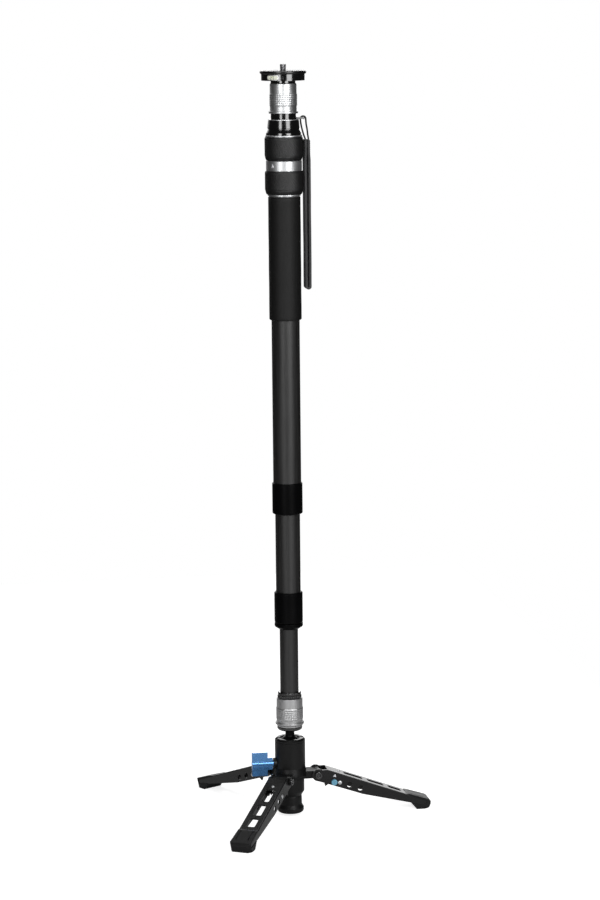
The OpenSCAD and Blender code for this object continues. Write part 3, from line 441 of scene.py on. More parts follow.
def rubber_finish(name, shade, rough, grain, specular=0.35):
    """Dark rubber, plastic or paint with a moulded grain."""
    finish = Finish(name, (shade, shade, shade * 1.04), rough, specular=specular)
    plain_shades(finish, 0.15)
    finish.bumped(finish.use(GRAIN, Scale=2600.0), grain)
    return finish.material


def ribbed_rubber():
    """Moulded rubber of the two rings, with a slight sheen."""
    finish = Finish("ribbed rubber", (0.004, 0.004, 0.0042), 0.46, specular=0.6)
    plain_shades(finish, 0.15)
    finish.bumped(finish.use(GRAIN, Scale=2500.0), 0.00008)
    return finish.material


def carbon_finish():
    """Resin over lengthwise carbon fibre: soft dark streaks along the tube."""
    finish = Finish("carbon tube", (0.015, 0.015, 0.015), 0.45, specular=0.8)
    tree = finish.tree
    broad = noise(tree, stretched(tree, 420.0, 14.0), 1.0, 3.0)
    fine = noise(tree, stretched(tree, 2600.0, 45.0), 1.0, 2.0)
    both = maths(tree, "ADD", maths(tree, "MULTIPLY", broad, 0.65), maths(tree, "MULTIPLY", fine, 0.35))
    streaks = ranged(tree, both, 0.34, 0.66).outputs["Result"]
    finish.shades(streaks, (0.004, 0.0039, 0.0038), (0.015, 0.0148, 0.0146))
    rough = ranged(tree, broad, 0.0, 1.0, 0.38, 0.54).outputs["Result"]
    tree.links.new(rough, finish.shader.inputs["Roughness"])
    finish.bumped(fine, 0.00003)
    return finish.material


def foam_finish():
    """Closed-cell foam: matt, with a pebbled skin and small pores."""
    finish = Finish("foam", (0.0055, 0.0055, 0.0055), 0.56, specular=0.32)
    tree = finish.tree
    cells = tree.nodes.new("ShaderNodeTexVoronoi")
    cells.inputs["Scale"].default_value = 1500.0
    tree.links.new(stretched(tree, 1.0, 1.0), cells.inputs["Vector"])
    grain = noise(tree, stretched(tree, 1.0, 1.0), 1500.0, 4.0, 0.65)
    height = maths(tree, "ADD", maths(tree, "MULTIPLY", cells.outputs["Distance"], 0.7), grain)
    finish.shades(grain, (0.0035, 0.0035, 0.0035), (0.0075, 0.0074, 0.0073))
    finish.bumped(height, 0.00013)
    return finish.material


def webbing_finish():
    """Woven tape: cross threads over lengthwise cords."""
    finish = Finish("webbing", (0.03, 0.03, 0.031), 0.8, specular=0.25)
    tree = finish.tree
    place = tree.nodes.new("ShaderNodeTexCoord")
    apart = tree.nodes.new("ShaderNodeSeparateXYZ")
    tree.links.new(place.outputs["Object"], apart.inputs["Vector"])
    over = maths(tree, "SINE", maths(tree, "MULTIPLY", apart.outputs["Y"], 5200.0))
    along = maths(tree, "SINE", maths(tree, "MULTIPLY", apart.outputs["Z"], 6500.0))
    weave = maths(tree, "MULTIPLY", over, along)
    strands = noise(tree, stretched(tree, 1500.0, 3200.0), 1.0, 3.0)
    height = maths(tree, "ADD", maths(tree, "MULTIPLY", weave, 0.5), strands)
    finish.shades(strands, (0.024, 0.024, 0.025), (0.09, 0.09, 0.092))
    finish.bumped(height, 0.0002)
    return finish.material


def thread_finish(name, dark, light):
    """Twisted yarn, for the cord and the stitches."""
    finish = Finish(name, light, 0.7, specular=0.25)
    strands = noise(finish.tree, stretched(finish.tree, 2600.0, 1700.0), 1.0, 2.0)
    finish.shades(strands, dark, light)
    finish.bumped(strands, 0.00015)
    return finish.material


def vial_finish():
    """Clear moulded vial over pale spirit."""
    finish = Finish("level vial", (0.88, 0.9, 0.76), 0.12, coat=0.6, coat_rough=0.04)
    plain_shades(finish, 0.1, 400.0)
    finish.sheen_between(0.08, 0.16, 300.0)
    return finish.material


GLOSS_BLACK = metal_finish("gloss black", (0.002, 0.002, 0.0022), 0.12, 0.18, rings=0.0000012, ior=1.95)
SATIN_BLACK = metal_finish("satin black", (0.004, 0.004, 0.0042), 0.32, 0.4, grain=0.000008, specular=0.34)
LEG_BLACK = metal_finish("leg black", (0.006, 0.006, 0.0062), 0.2, 0.25, grain=0.000003)
DULL_BLACK = metal_finish("dull black", (0.004, 0.004, 0.0042), 0.42, 0.5, grain=0.000008, specular=0.26)
COLLAR_BLACK = metal_finish("collar black", (0.002, 0.002, 0.0022), 0.3, 0.36, rings=0.0000015, specular=0.1)
BRIGHT = metal_finish("bright aluminium", (0.73, 0.74, 0.75), 0.4, 0.46, rings=0.000002, metal=1.0)
GREY = metal_finish("grey aluminium", (0.62, 0.62, 0.625), 0.4, 0.46, grain=0.000006, metal=1.0)
STUD_STEEL = metal_finish("stud steel", (0.34, 0.34, 0.35), 0.34, 0.42, metal=1.0)
DARK_STEEL = metal_finish("blackened steel", (0.02, 0.02, 0.021), 0.34, 0.42, grain=0.000004)
BOLT_STEEL = metal_finish("bolt steel", (0.13, 0.13, 0.132), 0.1, 0.14, grain=0.000001, metal=1.0)
STEEL = metal_finish("steel", (0.56, 0.57, 0.58), 0.22, 0.32, grain=0.000004, metal=1.0)
BLUE = metal_finish(
    "blue anodised", (0.12, 0.36, 0.78), 0.2, 0.26, grain=0.000001, metal=0.75, coat=1.0, coat_rough=0.1)
BUTTON_BLUE = metal_finish("button blue", (0.2, 0.48, 0.66), 0.26, 0.34, grain=0.000004, metal=0.5)
RUBBER = rubber_finish("rubber", 0.006, 0.5, 0.00003)
PAD_RUBBER = rubber_finish("pad rubber", 0.003, 0.3, 0.000004, 0.6)
FOOT_RUBBER = rubber_finish("foot rubber", 0.006, 0.44, 0.00003, 0.28)
RIBBED_RUBBER = ribbed_rubber()
CARBON = carbon_finish()
FOAM = foam_finish()
WEBBING = webbing_finish()
CORD = thread_finish("cord", (0.008, 0.008, 0.008), (0.03, 0.03, 0.032))
STITCH = thread_finish("stitch", (0.03, 0.03, 0.03), (0.09, 0.09, 0.09))
VIAL = vial_finish()
BUBBLE = metal_finish("bubble", (0.75, 0.8, 0.55), 0.05, 0.1, coat=1.0, coat_rough=0.02)
MOULDED = rubber_finish("moulded plastic", 0.06, 0.4, 0.00001)
BRONZE = metal_finish("bronze", (0.5, 0.32, 0.16), 0.3, 0.4, rings=0.000002, metal=1.0)
MARK = rubber_finish("dark mark", 0.01, 0.6, 0.00001)
WHITE_MARK = rubber_finish("white mark", 0.8, 0.5, 0.00001)

SLOT_FINISH = {
    "carbon": CARBON,
    "black_anodised": SATIN_BLACK,
    "bright_aluminium": BRIGHT,
    "grey_aluminium": GREY,
    "rubber": RUBBER,
    "foam": FOAM,
    "steel": STEEL,
    "blue_anodised": BLUE,
    "vial": VIAL,
    "webbing": WEBBING,
    "moulded": MOULDED,
    "bronze": BRONZE,
}
for node, solid in frame["nodes"].items():
    solid.data.materials.clear()
    solid.data.materials.append(SLOT_FINISH[SLOT_OF[node]])


# Wrist strap: the cord loop, then the doubled webbing

CORD_DIAMETER = 1.7
LUG_X, LUG_Z = 19.5, 703.25
LOOP_RADIUS = 2.7


def cord_route():
    """Centreline of the cord: up from the webbing, over the lug and down again, in millimetres."""
    rising = [(21.6, 683.0), (21.2, 684.5), (19.9, 688.0), (18.5, 693.0), (17.4, 698.0)]
    over = arc((LUG_X, LUG_Z), LOOP_RADIUS, 185.0, -4.0, 9)
    falling = [(22.6, 698.0), (23.5, 693.0), (24.0, 688.0), (24.6, 684.5), (24.7, 683.0)]
    return [Vector((x, 0.0, z)) * MM for x, z in rising + over + falling]


def smooth_route(points, steps):
    """A smooth line through the points."""
    route = []
    padded = [points[0]] + points + [points[-1]]
    for a, b, c, d in zip(padded, padded[1:], padded[2:], padded[3:]):
        for step in range(steps):
            t = step / steps
            route.append(0.5 * (
                2.0 * b + (c - a) * t + (2.0 * a - 5.0 * b + 4.0 * c - d) * t * t
                + (3.0 * b - a - 3.0 * c + d) * t ** 3))
    route.append(points[-1])
    return route


def strap_cord():
    """Cord loop between the lug and the webbing."""
    route = smooth_route(cord_route(), 6)
    curve = bpy.data.curves.new("strap_cord_loop", "CURVE")
    curve.dimensions = "3D"
    curve.bevel_depth = CORD_DIAMETER / 2.0 * MM
    curve.bevel_resolution = 4
    curve.use_fill_caps = True
    spline = curve.splines.new("POLY")
    spline.points.add(len(route) - 1)
    for point, place in zip(spline.points, route):
        point.co = (*place, 1.0)
    spline.use_smooth = True
    piece = bpy.data.objects.new("strap_cord_loop", curve)
    bpy.context.scene.collection.objects.link(piece)
    dress(piece, "strap_cord", CORD)


strap_cord()

web_low, web_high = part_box("strap_webbing")
WEB_X = (web_low[0] / MM, web_high[0] / MM)
WEB_HALF_WIDTH = web_high[1] / MM
WEB_Z = (web_low[2] / MM, web_high[2] / MM)
WEB_LAYER = 2.2
WEB_INSET = 0.05
WEB_EDGE = 0.3
WEB_ROWS, WEB_COLUMNS = 44, 8
STITCHED = 15.0


def webbing_line():
    """Middle line of the tape: down the inner layer, round the fold and up the outer one."""
    inner = WEB_X[0] + WEB_LAYER / 2.0 + WEB_INSET
    outer = WEB_X[1] - WEB_LAYER / 2.0 - WEB_INSET
    middle = (inner + outer) / 2.0
    fold = (outer - inner) / 2.0
    bend_z = WEB_Z[0] + WEB_LAYER / 2.0 + fold + WEB_INSET
    stitched_z = WEB_Z[1] - STITCHED
    pressed = WEB_LAYER / 2.0 + 0.02
    down = []
    up = []
    for step in range(WEB_ROWS + 1):
        z = WEB_Z[1] + (bend_z - WEB_Z[1]) * step / WEB_ROWS
        close = min(1.0, max(0.0, (z - stitched_z + 5.0) / 9.0))
        close = close * close * (3.0 - 2.0 * close)
        gap = fold + (pressed - fold) * close * 0.6
        wave = 0.12 * math.sin(z * 0.09) * (1.0 - close)
        down.append((middle - gap + max(wave, 0.0), z))
        up.append((middle + gap + min(wave, 0.0), z))
    bend = arc((middle, bend_z), fold, 180.0, 360.0, 8)[1:-1]
    return down + bend + up[::-1]


def strap_webbing():
    """Doubled tape: its middle line drawn out to its width, then given its thickness."""
    line = webbing_line()
    half = (WEB_HALF_WIDTH - WEB_EDGE) * MM
    deselect()
    bpy.ops.mesh.primitive_circle_add(vertices=len(line), radius=0.01)
    tape = bpy.context.object
    tape.name = "strap_webbing_tape"
    for vertex, (x, z) in zip(tape.data.vertices, line):
        vertex.co = (x * MM, -half, z * MM)
    bpy.ops.object.mode_set(mode="EDIT")
    bpy.ops.mesh.select_all(action="DESELECT")
    bpy.ops.object.mode_set(mode="OBJECT")
    closing = {0, len(line) - 1}
    for edge in tape.data.edges:
        edge.select = set(edge.vertices) == closing
    bpy.ops.object.mode_set(mode="EDIT")
    bpy.ops.mesh.select_mode(type="EDGE")
    bpy.ops.mesh.delete(type="EDGE")
    bpy.ops.mesh.select_all(action="SELECT")
    step = 2.0 * half / WEB_COLUMNS
    for _ in range(WEB_COLUMNS):
        bpy.ops.mesh.extrude_region_move(TRANSFORM_OT_translate={"value": (0.0, step, 0.0)})
    bpy.ops.mesh.select_all(action="SELECT")
    bpy.ops.mesh.normals_make_consistent(inside=False)
    bpy.ops.object.mode_set(mode="OBJECT")
    activate(tape)
    thick = tape.modifiers.new("thickness", "SOLIDIFY")
    thick.thickness = WEB_LAYER * MM
    thick.offset = 0.0
    bpy.ops.object.modifier_apply(modifier=thick.name)
    soften(tape, 0.5, 40.0, 3)
    dress(tape, "strap_webbing", WEBBING)


strap_webbing()

STITCH_R, STITCH_SINK = 0.3, 0.3
STITCH_SIDE, STITCH_STEP = 4.4, 1.9
STITCH_ENDS = (1.6, 14.0)


def strap_stitches():
    """Box of stitches through the joined layers, on both faces."""
    long = dome(STITCH_R, (0.8, 0.9, 2.6), 8, 6)
    wide = dome(STITCH_R, (0.8, 2.6, 0.9), 8, 6)
    box = []
    for number in range(7):
        z = WEB_Z[1] - 2.0 - number * STITCH_STEP
        box += [(long, -STITCH_SIDE, z), (long, STITCH_SIDE, z)]
    for number in range(5):
        y = -3.4 + number * 1.7
        box += [(wide, y, WEB_Z[1] - end) for end in STITCH_ENDS]
    stitches = []
    for face in (WEB_X[0] + STITCH_SINK, WEB_X[1] - STITCH_SINK):
        for first, y, z in box:
            stitches.append(copied(first, Matrix.Translation(Vector((face, y, z)) * MM)))
    piece = joined("strap_stitches", *stitches)
    bpy.data.objects.remove(long)
    bpy.data.objects.remove(wide)
    soften(piece, 0.0, 60.0)
    dress(piece, "strap_webbing", STITCH, replace=False)


strap_stitches()


# Plate, stud and level

STUD_R, STUD_PITCH, STUD_THREAD = 3.17, 1.27, 0.62


def camera_stud():
    """Quarter-inch stud: its thread, its tip and its head inside the plate."""
    bottom, top, _ = span("camera_screw")
    _, pad_top, _ = span("plate_pad")
    low = pad_top - 0.6
    high = top - 0.35

    def thread(about, share):
        height = low + (high - low) * share
        turn_share = (height / STUD_PITCH - about / math.tau) % 1.0
        depth = abs(turn_share - 0.5) * 2.0
        fade = min(1.0, (1.0 - share) * 6.0)
        return -STUD_THREAD * min(1.0, depth * 1.25) * fade - 0.25 * (1.0 - fade)

    shaft = banded("stud_thread", STUD_R, low, high, 48, 40, thread)
    soften(shaft, 0.0, 50.0)
    tip = turned("stud_tip", [
        (0.0, low - 1.0), (2.5, low - 1.0), (2.5, low), (2.9, high - 0.02), (2.9, high), (2.55, top),
        (0.0, top),
    ], 0.05, 48)
    head = turned("stud_head", [
        (0.0, bottom), (4.8, bottom), (4.8, bottom + 3.0), (2.9, bottom + 3.0), (2.5, low - 0.5),
        (0.0, low - 0.5),
    ], 0.1, 48)
    dress(joined("camera_stud", shaft, tip, head), "camera_screw", STUD_STEEL)


PAD_BORE = 3.6
PAD_GROOVE, PAD_PITCH, PAD_LAST = 0.35, 1.9, 6.0


def plate_pad():
    """Rubber pad with a lip and round grooves in its top."""
    bottom, top, radius = span("plate_pad")
    section = [
        (PAD_BORE, bottom), (radius - 1.2, bottom), (radius - 0.2, bottom + 0.9), (radius, bottom + 1.2),
        (radius, top - 0.7), (radius - 0.7, top)]
    floor = top - PAD_GROOVE
    ring = radius - 1.6
    while ring > PAD_LAST:
        section += [(ring, top), (ring - 0.25, floor), (ring - 0.75, floor), (ring - 1.0, top)]
        ring -= PAD_PITCH
    section += [(PAD_BORE, top)]
    dress(turned("plate_pad_ribbed", section, 0.1), "plate_pad", PAD_RUBBER)


LEVEL_ANGLE = 231.5
LEVEL_FACE = 21.6
LEVEL_LINES = (-1.5, 1.5)
BUBBLE_RISE = 0.3


def level_marks():
    """Bubble and the two lines that it stands between."""
    low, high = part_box("level_vial")
    middle = (low[2] + high[2]) / 2.0 / MM
    out = Matrix.Rotation(math.radians(LEVEL_ANGLE), 4, "Z")
    first = block((0.1, 0.3, 3.3), (LEVEL_FACE, 0.0, middle))
    lines = [copied(first, out @ Matrix.Translation((0.0, side * MM, 0.0))) for side in LEVEL_LINES]
    pair = joined("level_lines", *lines)
    bpy.data.objects.remove(first)
    dress(soften(pair, 0.03), "level_vial", MARK, replace=False)
    bubble = dome(1.0, (0.14, 1.05, 0.95), 24, 12, (LEVEL_FACE, 0.0, middle + BUBBLE_RISE))
    bubble.name = "level_bubble"
    bubble.data.transform(out)
    dress(soften(bubble, 0.0, 80.0), "level_vial", BUBBLE, replace=False)


camera_stud()
plate_pad()
dress(machined("camera_plate", 0.25), "camera_plate", GLOSS_BLACK)
dress(machined("level_bezel", 0.2), "level_bezel", GREY)
dress(machined("level_vial", 0.15), "level_vial", VIAL)
level_marks()
dress(machined("plate_set_screw", 0.05), "plate_set_screw", DARK_STEEL)


# Lock collars with their knurl

KNURL = (7.6, 19.2)
KNURL_COLUMNS = 46
KNURL_ROWS = 6
KNURL_CORE, KNURL_OUTER = 13.4, 13.66
COLLAR_WALL, COLLAR_BORE = 13.2, 11.5


def lock_collar(node, finish, foot):
    """A turned collar with rows of small studs.

    foot is its half section below the knurl, as radii and heights above its lower end.
    """
    bottom, top, _ = span(node)
    low, high = bottom + KNURL[0], bottom + KNURL[1]
    section = [(COLLAR_BORE, bottom)] + [(radius, bottom + height) for radius, height in foot]
    section += [
        (COLLAR_WALL, low - 0.5), (KNURL_CORE, low - 0.2), (KNURL_CORE, high + 0.2),
        (COLLAR_WALL, high + 0.5), (COLLAR_WALL, top - 0.5), (COLLAR_WALL - 0.5, top), (COLLAR_BORE, top),
    ]
    shell = turned(node + "_shell", section, 0.12)

    def teeth(about, share):
        column = abs((about / math.tau * KNURL_COLUMNS) % 1.0 - 0.5)
        row = abs((share * KNURL_ROWS) % 1.0 - 0.5)
        rise = 0.6 * min(1.0, (0.5 - row) * 3.0) + 0.4 * min(1.0, (0.5 - column) * 3.0)
        return (KNURL_OUTER - KNURL_CORE) * rise

    knurl = banded(node + "_knurl", KNURL_CORE, low, high, KNURL_COLUMNS * 8, KNURL_ROWS * 8, teeth)
    soften(knurl, 0.0, 40.0)
    return dress(joined(node + "_turned", shell, knurl), node, finish)


lock_collar("upper_lock_collar", BRIGHT, [(14.1, 0.0), (14.5, 0.4), (14.5, 1.9), (14.2, 2.2), (13.2, 2.2)])
lock_collar("lower_lock_collar", GREY, [
    (12.5, 0.0), (13.0, 0.4), (13.1, 1.4), (12.6, 1.6), (12.6, 1.9), (14.0, 2.0), (14.5, 2.6), (14.5, 4.0),
    (14.0, 4.6), (13.2, 4.9)])


# Shoulder, rubber rings, index band and grip

HANDLE_BORE = 14.05
SHOULDER_FOOT = 686.3


def shoulder():
    """Neck and conical shoulder with its groove, and the two thin bright rings on it."""
    _, top, _ = span("shoulder_cone")
    outside = [
        (HANDLE_BORE, 0.0), (17.9, 0.0), (18.2, 0.3), (18.2, 0.6), (17.3, 1.6), (17.3, 3.8), (16.95, 4.2),
        (15.6, 7.3), (15.6, 8.0), (15.95, 8.3), (15.25, 15.9), (14.1, 17.1), (12.5, 17.1), (12.5, 22.5),
        (11.2, 22.5),
    ]
    section = [(radius, SHOULDER_FOOT + height) for radius, height in outside]
    inside = SHOULDER_FOOT + 9.7
    section += [(11.2, top), (10.2, top), (10.2, inside), (HANDLE_BORE, inside)]
    dress(turned("shoulder_turned", section, 0.15), "shoulder_cone", GLOSS_BLACK)
    ledge = [(17.0, 0.0), (17.95, 0.0), (18.22, 0.2), (18.22, 1.1), (17.6, 1.65), (17.0, 1.65)]
    brow = [(14.0, 15.9), (15.1, 16.0), (15.1, 16.8), (14.8, 17.14), (14.0, 17.14)]
    for name, outline in (("shoulder_ledge", ledge), ("shoulder_brow", brow)):
        ring = turned(name, [(radius, SHOULDER_FOOT + height) for radius, height in outline], 0.05)
        dress(ring, "shoulder_cone", BRIGHT, replace=False)


RIB_COUNT = 60
RIB_SLANT = 2.2
RIB_HEIGHT = 0.13


def rubber_ring(node, inner, bottom, top):
    """Moulded rubber ring with fine slanting ribs."""
    _, _, radius = span(node)
    wall = radius - 2.0 * RIB_HEIGHT
    section = [
        (inner, bottom), (17.3, bottom), (17.7, bottom + 0.5), (wall - 0.25, bottom + 2.7),
        (wall, bottom + 3.7), (wall, top - 0.9), (wall - 0.25, top - 0.25), (radius - 0.8, top), (inner, top),
    ]
    body = turned(node + "_body", section, 0.12)
    rib_low = bottom + 2.6
    rib_high = top - 0.3

    def ribs(about, share):
        height = rib_low + (rib_high - rib_low) * share
        ends = min(1.0, share * 9.0, (1.0 - share) * 16.0)
        wave = math.sin(RIB_COUNT * about - RIB_SLANT * height)
        return RIB_HEIGHT * (1.0 + wave) * ends - 0.4 * (1.0 - ends)

    ribbed = banded(node + "_ribs", wall, rib_low, rib_high, RIB_COUNT * 6, 42, ribs)
    soften(ribbed, 0.0, 60.0)
    dress(joined(node + "_moulded", body, ribbed), node, RIBBED_RUBBER)


BAND_LOW, BAND_HIGH = 652.8, 662.9
BAND_R, SLEEVE_R = 17.7, 16.5


def index_band():
    """Bright band between the rubber rings, on the sleeve that carries them."""
    bottom, top, _ = span("handle_sleeve")
    section = [
        (HANDLE_BORE, bottom), (SLEEVE_R, bottom), (SLEEVE_R, BAND_LOW), (BAND_R - 0.3, BAND_LOW),
        (BAND_R, BAND_LOW + 0.3), (BAND_R, BAND_HIGH - 0.3), (BAND_R - 0.3, BAND_HIGH), (SLEEVE_R, BAND_HIGH),
        (SLEEVE_R, top), (HANDLE_BORE, top),
    ]
    dress(turned("handle_sleeve_turned", section, 0.1), "handle_sleeve", BRIGHT)


def index_arrow():
    """A small plain arrowhead that shows which way the ring turns."""
    arrow = arrowhead(2.5, 0.8)
    arrow.name = "index_arrow"
    place = Matrix.Translation(Vector((0.0, -17.69, 657.8)) * MM)
    arrow.data.transform(Matrix.Rotation(math.radians(-48.0), 4, "Z") @ place)
    dress(soften(arrow, 0.02), "handle_sleeve", WHITE_MARK, replace=False)


GRIP_ROUND, GRIP_ROWS, GRIP_WAVE = 1.3, 36, 0.05


def foam_grip():
    """Foam sleeve with a rounded lower end and a slightly uneven wall."""
    bottom, top, radius = span("foam_grip")
    low = bottom + GRIP_ROUND
    section = [(HANDLE_BORE, bottom)]
    section += arc((radius - GRIP_ROUND, low), GRIP_ROUND, -90.0, 0.0, 5)
    for step in range(1, GRIP_ROWS):
        share = step / GRIP_ROWS
        wave = GRIP_WAVE * math.sin(share * 19.0)
        section.append((radius - GRIP_WAVE + wave, low + (top - 0.6 - low) * share))
    section += [(radius - 0.1, top - 0.5), (radius - 0.6, top), (HANDLE_BORE, top)]
    piece = turned("foam_grip_soft", section, 0.0, 144, 50.0)
    dress(piece, "foam_grip", FOAM)


def trim_ring():
    """Thin bright ring between the grip and the rubber."""
    bottom, top, radius = span("grip_trim_ring")
    section = [
        (HANDLE_BORE, bottom), (radius - 1.1, bottom), (radius - 0.9, bottom + 0.8), (radius, bottom + 1.1),
        (radius, top - 0.2), (radius - 0.3, top), (HANDLE_BORE, top)]
    dress(turned("grip_trim_turned", section, 0.08), "grip_trim_ring", BRIGHT)


shoulder()
rubber_ring("twist_rubber", 17.0, 663.2, 686.1)
rubber_ring("hold_rubber", 16.6, 629.8, 652.7)
index_band()
index_arrow()
foam_grip()
trim_ring()
dress(machined("strap_lug", 0.15), "strap_lug", GLOSS_BLACK)


# Tubes and their end collars

TUBES = {
    "tube_1": (14.0, 12.75),
    "tube_2": (12.425, 11.175),
    "tube_3": (10.85, 9.6),
    "tube_4": (9.275, 8.025),
}


def carbon_tube(node, outer, inner):
    """A wound tube between two radii."""
    bottom, top, _ = span(node)
    tube = turned(node + "_wound", [(inner, bottom), (outer, bottom), (outer, top), (inner, top)], 0.1)
    dress(tube, node, CARBON)


for node, (outer, inner) in TUBES.items():
    carbon_tube(node, outer, inner)


def end_collar(node, tube, lip):
    """Smooth collar on the end of a tube, with a small relief under its upper edge."""
    bottom, top, radius = span(node)
    section = [
        (lip, bottom), (radius - 1.1, bottom), (radius - 0.25, bottom + 0.45), (radius, bottom + 1.2),
        (radius, top - 1.0), (radius - 0.9, top), (tube, top), (tube, bottom + 5.0), (lip, bottom + 5.0),
    ]
    dress(turned(node + "_turned", section, 0.12), node, COLLAR_BLACK)


end_collar("collar_1", 14.02, 12.75)
end_collar("collar_2", 12.45, 11.2)


def end_ring():
    """Slim tapered ring on the end of tube 3."""
    bottom, top, radius = span("end_ring_3")
    section = [
        (9.6, bottom), (10.375, bottom), (radius - 0.5, bottom + 2.3), (radius, bottom + 2.9),
        (radius, top - 0.5), (radius - 0.5, top), (10.87, top), (10.87, bottom + 2.0), (9.6, bottom + 2.0)]
    dress(turned("end_ring_turned", section, 0.1), "end_ring_3", COLLAR_BLACK)


end_ring()

SERRATED = (119.9, 125.9)
SERRATIONS = 30
SERRATED_CORE = 11.0
TIERS = (1.25, 0.75)


def serrated_ring():
    """Foot of tube 4: a sleeve, with two rows of rounded teeth that stand inside the collar's rim."""
    bottom, top, _ = span("lower_spigot")

    def teeth(about, share):
        row = min(1.0, 2.2 * math.sin(math.pi * ((share * 2.0) % 1.0)))
        column = abs(math.sin(about * SERRATIONS / 2.0))
        tier = TIERS[0] if share < 0.5 else TIERS[1]
        return tier * row * (0.45 + 0.55 * column)

    ring = banded("serrated_teeth", SERRATED_CORE, SERRATED[0], SERRATED[1], SERRATIONS * 10, 16, teeth)
    soften(ring, 0.0, 50.0)
    ledge = SERRATED[1] - 0.1
    sleeve = turned("serrated_sleeve", [
        (9.0, bottom), (SERRATED_CORE, bottom), (SERRATED_CORE, ledge), (9.3, ledge), (9.3, top), (9.0, top),
    ], 0.1)
    dress(joined("serrated_ring", sleeve, ring), "lower_spigot", GLOSS_BLACK)


serrated_ring()


# Ball joint and base

BALL_R, STEM_R = 12.0, 4.6
FILLET_START, FILLET_RISE, FILLET_ROWS = 64.0, 1.6, 8


def ball_and_stem():
    """Ball with its stem, and the fillet between them."""
    bottom, top, _ = span("ball_stem")
    section = arc((0.0, bottom + BALL_R), BALL_R, -90.0, FILLET_START, 40)
    foot_r, foot_z = section[-1]
    for step in range(1, FILLET_ROWS + 1):
        share = step / FILLET_ROWS
        section.append((STEM_R + (foot_r - STEM_R) * (1.0 - share) ** 2, foot_z + FILLET_RISE * share))
    section += [(STEM_R, top), (0.0, top)]
    dress(turned("ball_stem_turned", section, 0.0, 96, 40.0), "ball_stem", COLLAR_BLACK)


dress(machined("lower_cap", 0.15), "lower_cap", GLOSS_BLACK)
ball_and_stem()
dress(machined("socket_ring", 0.2), "socket_ring", SATIN_BLACK)
dress(machined("base_housing", 0.3), "base_housing", SATIN_BLACK)
dress(machined("leg_crown", 0.35), "leg_crown", DULL_BLACK)
dress(machined("lock_knob", 0.15), "lock_knob", BLUE)
dress(machined("foot_boss", 0.25), "foot_boss", SATIN_BLACK)

FOOT_ROUND = 3.0


def centre_foot():
    """Bell-shaped rubber foot."""
    bottom, top, radius = span("centre_foot")
    section = [(0.0, bottom + 0.4), (7.6, bottom + 0.4), (8.0, bottom)]
    section += arc((radius - FOOT_ROUND, bottom + FOOT_ROUND), FOOT_ROUND, -90.0, 0.0, 8)
    section += [
        (radius, bottom + 5.2), (11.6, bottom + 8.5), (11.5, top - 1.2), (11.0, top), (0.0, top)]
    dress(turned("centre_foot_moulded", section, 0.25), "centre_foot", FOOT_RUBBER)


centre_foot()


# Legs

LEG_ANGLES = {1: 0.0, 2: 120.0, 3: 240.0}
PIVOT_R, PIVOT_Z, LEG_SLOPE = 27.5, 39.0, 20.2


def leg_place(number):
    """From a leg's own frame, x along the leg and z square to it, to the part's frame."""
    place = Matrix.Rotation(math.radians(LEG_ANGLES[number]), 4, "Z")
    place = place @ Matrix.Translation((PIVOT_R * MM, 0.0, PIVOT_Z * MM))
    return place @ Matrix.Rotation(math.radians(LEG_SLOPE), 4, "Y")


def leg_trim(name, number, first, places, edge, angle, finish):
    """Copies of one small shape at places in a leg's own frame, as one piece."""
    stand = leg_place(number)
    copies = [copied(first, stand @ Matrix.Translation(Vector(place) * MM)) for place in places]
    piece = joined("%s_%d" % (name, number), *copies)
    dress(soften(piece, edge, angle), "leg_%d" % number, finish, replace=False)


def rounded_edges(piece, number, width, wanted):
    """Rounds the edges whose two ends, in the leg's own frame in millimetres, are both wanted."""
    inward = leg_place(number).inverted()
    fits = [wanted(inward @ vertex.co / MM) for vertex in piece.data.vertices]
    activate(piece)
    bpy.ops.object.mode_set(mode="EDIT")
    bpy.ops.mesh.select_mode(type="EDGE")
    bpy.ops.mesh.select_all(action="DESELECT")
    bpy.ops.object.mode_set(mode="OBJECT")
    for edge in piece.data.edges:
        edge.select = fits[edge.vertices[0]] and fits[edge.vertices[1]]
    bpy.ops.object.mode_set(mode="EDIT")
    bpy.ops.mesh.bevel(offset=width * MM, segments=4, affect="EDGES")
    bpy.ops.object.mode_set(mode="OBJECT")


LEG_TOP, LEG_SIDE = 8.2, 9.6


def leg_channel(number):
    """Pressed channel: its two long upper edges are well rounded, the rest only broken."""
    node = "leg_%d" % number
    channel = machined(node, 0.0)
    rounded_edges(channel, number, 1.0, lambda at: at.z > LEG_TOP - 0.05 and abs(at.y) > LEG_SIDE)
    dress(soften(channel, 0.3), node, LEG_BLACK)


BOOT_START, BOOT_TAPER = 94.5, 14.0
BOOT_SLIM, BOOT_LOW = 0.95, 0.45
GROOVE_SIZE, GROOVE_X, GROOVE_SIDES = (15.0, 1.4, 4.0), 106.0, (-6.4, 6.4)


def toe_groove(boot, number, side):
    """Cuts one of the two long grooves in a foot's top."""
    cutter = block(GROOVE_SIZE, (GROOVE_X, side, LEG_TOP + 2.5))
    cutter.data.transform(leg_place(number))
    cut_away(boot, cutter)


